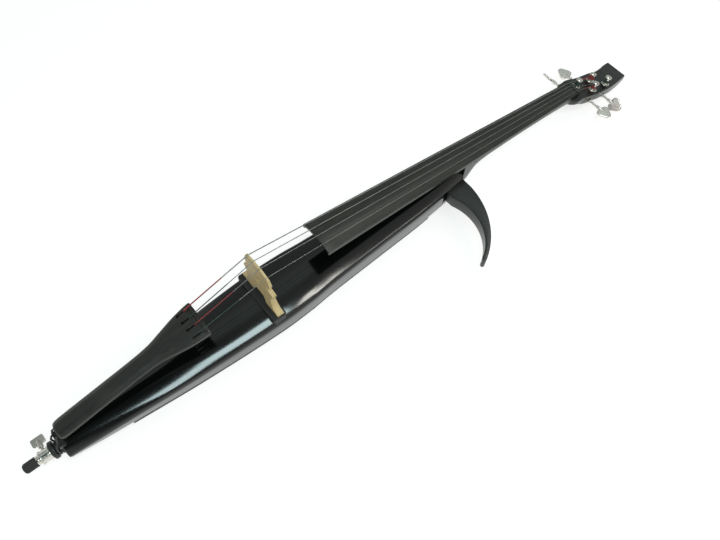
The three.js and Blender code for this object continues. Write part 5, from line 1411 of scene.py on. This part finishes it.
def bridgeOutline():
    tall = bridgeCrown - belly

    def place(share):
        return (bridge["foot"] * share[0], belly + clearance + tall * share[1])

    side = [place((bridge["archShares"][0][0], 0)), place((1, 0))]
    for step in bridge["outline"]:
        points = [Vector(place(share)) for share in step]
        start = Vector(side[-1])
        if len(points) == 1:
            side.append(tuple(points[0]))
            continue
        for i in range(1, bridge["curveSteps"] + 1):
            side.append(tuple(bent(start, points[0], points[1], i / bridge["curveSteps"])))
    crown = crossOutline(bridge["topHalf"], 0, lambda y: bridgeCrown - bridgeFall(y))[2:]
    other = [(-y, z) for y, z in reversed(side)]
    arch = throughPoints([place((-y, z)) for y, z in bridge["archShares"]]
                         + [place(share) for share in reversed(bridge["archShares"][:-1])])
    heart = [place(share) for share in bridge["heartShares"]]
    heart += [place((-y, z)) for y, z in reversed(bridge["heartShares"][1:-1])]
    return side + crown + other + arch[1:-1], throughPoints(heart, True)


def makeBridge():
    outer, heart = bridgeOutline()
    flat = plateShape([outer, heart], -bridge["thick"] / 2, bridge["thick"] / 2, bridge["rim"])
    points, faces = standing(flat)
    tall = bridgeCrown - belly
    tapered = []
    for x, y, z in points:
        share = (z - belly) / tall
        tapered.append((x * mix(1, bridge["topThick"] / bridge["thick"], share), y, z))
    addPiece("bridge_maple", (tapered, faces), "maple", covers=["bridge"], cuts=stringGrooves())


bridgeBase = dict(half=48.4, back=15.0, front=9.0, round=5.0, rim=0.9)


def makeBridgeBase():
    b = bridgeBase
    outline = roundedOutline(b["back"] + b["front"], 2 * b["half"], b["round"], 10)
    lowest = belly - bodyShape["sunk"] - bodyShape["arch"] - bodyShape["fall"]
    tall = shifted(plateShape([outline], lowest, belly, b["rim"], 4), x=(b["front"] - b["back"]) / 2)
    addPiece("bridge_foot", tall, "mouldedBlack", covers=["bridge_base"],
             cuts=[bodySkin(clearance / 2)])


# Tailpiece, its fret, the saddle and the tailgut
def tailRing(share):
    t = tailpiece
    x = t["length"] * share - tailEnd
    rounding = max(0, 1 - min(share, 1 - share) / t["endShare"])
    ends = t["bevel"] / 2 * rounding**2
    half = t["half"] * smoothShare(t["widthShares"], share) - ends
    top = tailTop(x) - ends
    low = tailTop(x) - t["thick"] + ends
    side = []
    for i in range(t["ridgeSteps"] + 1):
        y = (half - t["bevel"]) * i / t["ridgeSteps"]
        middle = min(1, y / (half / 2))
        beyond = max(0, (y - half / 2) / (half / 2 - t["bevel"]))
        side.append((y, top + t["ridge"] * mix(mix(1, t["ridgeShare"], middle), 0, beyond)))
    bevel = t["bevel"]
    over, down, under = [bevel * part for part in t["bevelShares"]]
    side += [(half - over, top - down), (half, top - bevel), (half, low + bevel / 2),
             (half - under, low + t["lowStep"]), (half - bevel, low), (0, low)]
    return mirroredRing(x, side, -1)


def makeTailpiece():
    t = tailpiece
    end = t["endShare"]
    shares = evenly(0, end, t["endSteps"])[:-1] + evenly(end, 1 - end, t["stations"])
    shares += evenly(1 - end, 1, t["endSteps"])[1:]
    high = fretTop + overrun
    seatLow = tailTop(-t["fret"]) - t["fretSunk"]
    tailSide = -t["fret"] - t["fretThick"] / 2
    bridgeSide = -t["fret"] + t["fretThick"] / 2
    wide = t["fretHalf"] + clearance
    cuts = [blockShape((tailSide - clearance, -wide, seatLow), (bridgeSide + clearance, wide, high))]
    back = -t["front"] - t["keyholeBack"]
    front = -t["front"] - t["keyholeFront"]
    for string in strings.values():
        y = string["tailY"]
        cuts.append(shifted(rodShape(t["keyhole"], belly, high, "z", steps=28), back, y))
        cuts.append(blockShape((back, y - t["slot"] / 2, belly), (front, y + t["slot"] / 2, high)))
    for side in (-1, 1):
        entry = [Vector((x, side * gut["spread"], tailTop(x) - t["thick"] / 2 + clearance))
                 for x in (gut["entry"] - tailEnd, -tailEnd - overrun)]
        cuts.append(tubeShape(entry, gut["radius"] + clearance, gut["sides"]))
    addPiece("tailpiece_ebony", loftRings([tailRing(share) for share in shares]), "tailEbony",
             covers=["tailpiece"], edge=0.25, angle=30, cuts=cuts)
    flat = crossOutline(t["fretHalf"], seatLow + clearance,
                        lambda y: fretTop + t["fretCrown"] - t["fretSunk"] * (y / t["fretHalf"]) ** 4)
    fret = standing(plateShape([flat], tailSide, bridgeSide, 0.7, 4))
    addPiece("tail_fret", fret, "tailEbony", covers=["tailpiece_fret"], cuts=stringGrooves())


def gutPath():
    lip = tailX - saddle["proud"]
    turnRadius = saddle["round"] + clearance + gut["radius"]
    loopX = -(washerEnd + endpin["grooveWidth"] / 2)
    loopRadius = endpin["groove"] + clearance + gut["radius"]
    points = [(x, gut["spread"], tailTop(x) - tailpiece["thick"] / 2 + clearance)
              for x in (gut["entry"] - tailEnd - clearance, -tailEnd - overrun)]
    for i in range(gut["turnSteps"] + 1):
        turn = pi / 2 * (1 + i / gut["turnSteps"])
        points.append((lip + saddle["round"] + turnRadius * cos(turn), gut["spread"] + saddle["round"],
                       saddleTop - saddle["round"] + turnRadius * sin(turn)))
    points += [(loopX, loopRadius, endpinZ + endpin["washer"]), (loopX, loopRadius, endpinZ)]
    points += [(loopX, loopRadius * cos(turn), endpinZ - loopRadius * sin(turn))
               for turn in quarterTurns(gut["turnSteps"], 1)]
    path = [Vector(point) for point in points]
    return path + [Vector((p.x, -p.y, p.z)) for p in reversed(path[:-1])]


def makeSaddle():
    lip = tailX - saddle["proud"]
    back = saddle["length"] + tailX
    r = saddle["round"]
    profile = [(lip, saddleFoot)]
    profile += [(lip + r - r * cos(t), saddleTop - r + r * sin(t)) for t in quarterTurns(saddle["steps"])]
    profile += [(back - r, saddleTop), (back, saddleTop - r), (back, saddleFoot)]
    points, faces = plateShape([list(reversed(profile))], -saddle["half"], saddle["half"], 0.5)
    addPiece("saddle_ebony", ([(x, z, y) for x, y, z in points], faces), "tailEbony", covers=["saddle"])
    cord = tubeShape(softened(gutPath(), gut["bend"], steps=3), gut["radius"], gut["sides"])
    addPiece("tailgut_cord", cord, "mouldedBlack", covers=["tailgut"])


makeStrings()
makeNut()
makeBridge()
makeBridgeBase()
makeTailpiece()
makeSaddle()
print("strings, bridge and tailpiece made")

# Controls on the lowest string's side
knob = dict(
    radius=8.0, height=9.0, shaft=3.0, flutes=24, fluteDepth=0.035, button=4.0,
    proud=3.0, flange=0.9, guideDepth=10.0, travel=1.5, jackWall=2.0, jackFlange=2.4,
    jackProud=3.4, jackFlangeThick=2.0, jackRim=0.5, shaftDepth=8.7, footRim=0.4,
    topRim=1.0, dish=2.6, dishEnd=3.2, dishDepth=0.4, fluteReach=1.2, fluteFoot=0.5,
    markHalf=0.3, markDepth=1.2, buttonRim=0.8, dialSteps=192, buttonSteps=5,
    crownDrop=0.15, centreDrop=0.25, holeSteps=36, plateRim=0.35,
    holes=dict(volume=4.7, power=4.07, phones=4.3, output=6.3),
    # bore, barrel and depth
    jacks=dict(output=(3.3, 6.0, 30.0), phones=(1.8, 4.0, 16.0)),
)


def controlX(name):
    return panel["start"] + panel["length"] * panel[name]


def onPanel(name, shape):
    return shifted(shape, controlX(name), 0, panel["z"])


def addControl(name, place, profile, finish, body, node, steps=48, ripple=None, cuts=()):
    addPiece(name, onPanel(place, turnedShape(profile, "y", steps, ripple)), finish, body, [node],
             cuts=[onPanel(place, cut) for cut in cuts])


def makePlate():
    holes = []
    steps = knob["holeSteps"] - 1
    for name, radius in knob["holes"].items():
        centre = controlX(name) - panel["start"] - panel["length"] / 2
        holes.append(arcPoints((centre, 0), radius, 0, 2 * pi * steps / (steps + 1), steps))
    outline = roundedOutline(panel["length"], panel["height"], panel["round"], 10)
    plate = plateShape([outline] + holes, 0, panel["thick"], knob["plateRim"])
    addPiece("control_plate", onControlSide(plate, recessFloor + clearance), "mouldedBlack",
             covers=["control_panel"])


def makeDial(behind):
    k = knob
    foot = panelFace + 3 * clearance
    high = foot + k["height"]
    low = behind - k["shaftDepth"]
    dish = high - k["dishDepth"]

    def flutes(turn, radius, height):
        side = radius > k["radius"] - k["fluteReach"] and height > foot + k["fluteFoot"]
        return 1 - k["fluteDepth"] * (0.5 + 0.5 * cos(k["flutes"] * turn)) if side else 1

    mark = blockShape((-k["markHalf"], high - k["markDepth"], k["radius"] / 3),
                      (k["markHalf"], high + overrun, k["radius"] + overrun))
    addControl("volume_dial", "volume", [
        (0, low), (k["shaft"], low), (k["shaft"], foot), (k["radius"], foot, k["footRim"]),
        (k["radius"] - k["footRim"], high, -k["topRim"]), (k["radius"] - k["dish"], high),
        (k["radius"] - k["dishEnd"], dish), (0, dish)],
        "mouldedBlack", "volume_knob", "volume_knob", k["dialSteps"], flutes, [mark])


def makeButton(behind):
    k = knob
    back = behind - k["guideDepth"] + k["jackWall"] + k["travel"] + clearance
    wide = k["button"] + k["flange"]
    top = panelFace + k["proud"]
    addControl("power_cap", "power", [
        (0, back), (wide, back), (wide, behind - clearance), (k["button"], behind - clearance),
        (k["button"], top, -k["buttonRim"], k["buttonSteps"]),
        (k["button"] / 2, top - k["crownDrop"]), (0, top - k["centreDrop"])],
        "softBlack", "power_button", "power_button")


def makeJack(behind, place, bore, radius, depth):
    k = knob
    face = panelFace + k["jackProud"]
    ring = panelFace + k["jackFlangeThick"]
    end = behind - depth
    floor = end + k["jackWall"]
    wide = radius + k["jackFlange"]
    rim = k["jackRim"]
    addControl(f"{place}_socket", place, [
        (0, end), (radius, end), (radius, panelFace + clearance), (wide, panelFace + clearance),
        (wide, ring, -rim), (radius, ring), (radius, face, -rim), (bore + rim, face), (bore, face - rim),
        (bore, floor), (0, floor)], "mouldedBlack", "instrument", f"{place}_jack")


def makeControls():
    behind = panelFace - panel["thick"] - clearance
    makePlate()
    makeDial(behind)
    makeButton(behind)
    for place, (bore, radius, depth) in knob["jacks"].items():
        makeJack(behind, place, bore, radius, depth)


makeControls()
print("controls made")

# Inner pieces keep their solids and take a finish
innerFinishes = dict(
    battery="cell", preamp_board="circuit", volume_control="satinSteel",
    power_switch="mouldedBlack", endpin_tube="satinSteel", horn_pin="satinSteel",
    battery_lid_pin="satinSteel",
)
for node, finish in innerFinishes.items():
    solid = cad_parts[node]
    solid.data.materials.clear()
    solid.data.materials.append(finishes[finish]["material"])

# Floor, light and camera
stage = dict(
    floorHalf=6.0, floorDrop=0.2, floorColour=(0.48, 0.475, 0.47), floorGlow=0.7,
    tailSide=[(-1.0, (0.7, 0.72, 0.7)), (-0.88, (0.55, 0.57, 0.55)), (-0.76, (0.28, 0.3, 0.29)),
              (-0.62, (0.06, 0.065, 0.065)), (-0.1, (0.05, 0.055, 0.055)), (0.02, (0.24, 0.27, 0.26)),
              (0.16, (0.46, 0.54, 0.53)), (0.4, (0.46, 0.54, 0.53)), (0.65, (0.32, 0.36, 0.35)),
              (1.0, (0.3, 0.32, 0.31))],
    neckSide=[(-1.0, (0.9, 0.92, 0.88)), (-0.88, (0.9, 0.92, 0.88)), (-0.72, (1.1, 1.12, 1.05)),
              (-0.56, (0.6, 0.62, 0.58)), (-0.44, (0.42, 0.44, 0.42)), (-0.1, (0.34, 0.36, 0.34)),
              (0.02, (0.3, 0.33, 0.31)), (0.16, (0.52, 0.6, 0.57)), (0.4, (0.5, 0.56, 0.53)),
              (0.65, (0.32, 0.36, 0.34)), (1.0, (0.28, 0.3, 0.29))],
    tailLow=(0.85, 0.86, 0.83), neckLow=(0.27, 0.28, 0.27), tailLowRange=(0.3, 0.65),
    neckLowRange=(0.1, 0.36), meetHalf=0.12,
)
coolLight = (0.78, 0.98, 1.0)
warmLight = (1.0, 0.97, 0.91)
# Start, end, width, radiance and colour of each lamp, in metres
lamps = dict(
    tailLamp=((-0.24, -0.6), (0.25, -0.455), 0.25, 13.0, coolLight),
    tailEndLamp=((-0.59, -1.08), (-0.225, -0.6), 0.17, 13.0, coolLight),
    neckLamp=((0.36, -0.545), (0.48, -0.59), 0.19, 15.0, warmLight),
    neckEndLamp=((0.48, -0.6), (0.63, -0.83), 0.13, 15.0, warmLight),
    edgeLamp=((0.65, -0.88), (1.6, -1.7), 0.09, 9.5, (1.0, 0.98, 0.94)),
    boardLamp=((0.85, 0.0), (1.5, 0.0), 0.5, 3.3, (1.0, 1.0, 0.93)),
)
lampHeight = 1.57
view = dict(
    place=(-0.1815, -0.4205, 0.9882), yaw=radians(48.44), pitch=radians(62.05),
    roll=radians(2.82), focal=672.2, photoWidth=720.0, sensor=36.0, near=0.01,
)


def addPair(tree, kind, first, second, settings=None):
    made = addNode(tree, kind, settings)
    feed(tree, made.inputs[0], first)
    feed(tree, made.inputs[1], second)
    return made.outputs[0]


def makeFloor():
    half = stage["floorHalf"] / mm
    corners = [(x, y, -stage["floorDrop"])
               for x, y in ((-half, -half), (half, -half), (half, half), (-half, half))]
    floor = objectFrom("floor", (corners, [(0, 1, 2, 3)]))
    material = bpy.data.materials.new("floorWhite")
    material.use_nodes = True
    tree = material.node_tree
    tree.nodes.clear()
    path = addNode(tree, "ShaderNodeLightPath")
    seen = path.outputs["Is Camera Ray"]
    for ray in ("Is Glossy Ray", "Is Transmission Ray"):
        seen = addPair(tree, "ShaderNodeMath", seen, path.outputs[ray], {"operation": "MAXIMUM"})
    glow = addPair(tree, "ShaderNodeMath", seen, stage["floorGlow"], {"operation": "MULTIPLY"})
    diffuse = addNode(tree, "ShaderNodeBsdfDiffuse", None, Color=rgba(stage["floorColour"]))
    emission = addNode(tree, "ShaderNodeEmission", None, Strength=glow)
    both = addPair(tree, "ShaderNodeAddShader", diffuse.outputs["BSDF"], emission.outputs["Emission"])
    addNode(tree, "ShaderNodeOutputMaterial", None, Surface=both)
    floor.data.materials.append(material)


def addLamp(name, start, end, width, radiance, colour):
    start = Vector((*start, lampHeight))
    along = Vector((*end, lampHeight)) - start
    light = bpy.data.lights.new(name, "AREA")
    light.shape = "RECTANGLE"
    light.size = along.length
    light.size_y = width
    light.energy = radiance * pi * light.size * light.size_y
    light.color = colour
    lamp = newObject(name, light)
    lamp.location = start + along / 2
    lamp.rotation_euler = (0, 0, atan2(along.y, along.x))


def addRamp(tree, share, colours):
    ramp = addNode(tree, "ShaderNodeValToRGB", None, Fac=share)
    stops = ramp.color_ramp.elements
    stops.remove(stops[1])
    for i, (y, colour) in enumerate(colours):
        stop = stops.new((y + 1) / 2) if i else stops[0]
        stop.position = (y + 1) / 2
        stop.color = rgba(colour)
    return ramp.outputs["Color"]


# A pale room with darker and lighter sides, over a pale floor
def makeWorld():
    world = bpy.data.worlds.new("studio")
    bpy.context.scene.world = world
    world.use_nodes = True
    tree = world.node_tree
    way = addNode(tree, "ShaderNodeTexCoord")
    parts = addNode(tree, "ShaderNodeSeparateXYZ", None, Vector=way.outputs["Generated"])
    side = ranged(tree, parts.outputs["Y"], 0, 1, -1, 1)
    tailLow = ranged(tree, parts.outputs["Z"], 1, 0, *stage["tailLowRange"])
    neckLow = ranged(tree, parts.outputs["Z"], 1, 0, *stage["neckLowRange"])
    tailSide = blendColours(tree, tailLow, addRamp(tree, side, stage["tailSide"]), stage["tailLow"])
    neckSide = blendColours(tree, neckLow, addRamp(tree, side, stage["neckSide"]), stage["neckLow"])
    meet = ranged(tree, parts.outputs["X"], 0, 1, -stage["meetHalf"], stage["meetHalf"])
    colour = blendColours(tree, meet, tailSide, neckSide)
    tree.links.new(colour, tree.nodes["Background"].inputs["Color"])


def makeLight():
    makeWorld()
    for name, values in lamps.items():
        addLamp(name, *values)


def makeCamera():
    camera = bpy.data.cameras.new("camera")
    camera.sensor_width = view["sensor"]
    camera.lens = view["focal"] / view["photoWidth"] * view["sensor"]
    camera.clip_start = view["near"]
    holder = newObject("camera", camera)
    yaw = view["yaw"]
    pitch = view["pitch"]
    ahead = Vector((cos(yaw) * cos(pitch), sin(yaw) * cos(pitch), -sin(pitch)))
    right = Vector((sin(yaw), -cos(yaw), 0))
    up = right.cross(ahead)
    c = cos(view["roll"])
    s = sin(view["roll"])
    rolledRight = right * c + up * s
    rolledUp = up * c - right * s
    place = view["place"]
    holder.matrix_world = Matrix((
        (rolledRight.x, rolledUp.x, -ahead.x, place[0]), (rolledRight.y, rolledUp.y, -ahead.y, place[1]),
        (rolledRight.z, rolledUp.z, -ahead.z, place[2]), (0, 0, 0, 1)))
    bpy.context.scene.camera = holder


makeFloor()
makeLight()
makeCamera()
bpy.context.scene.view_settings.view_transform = "Standard"
print("stage made")
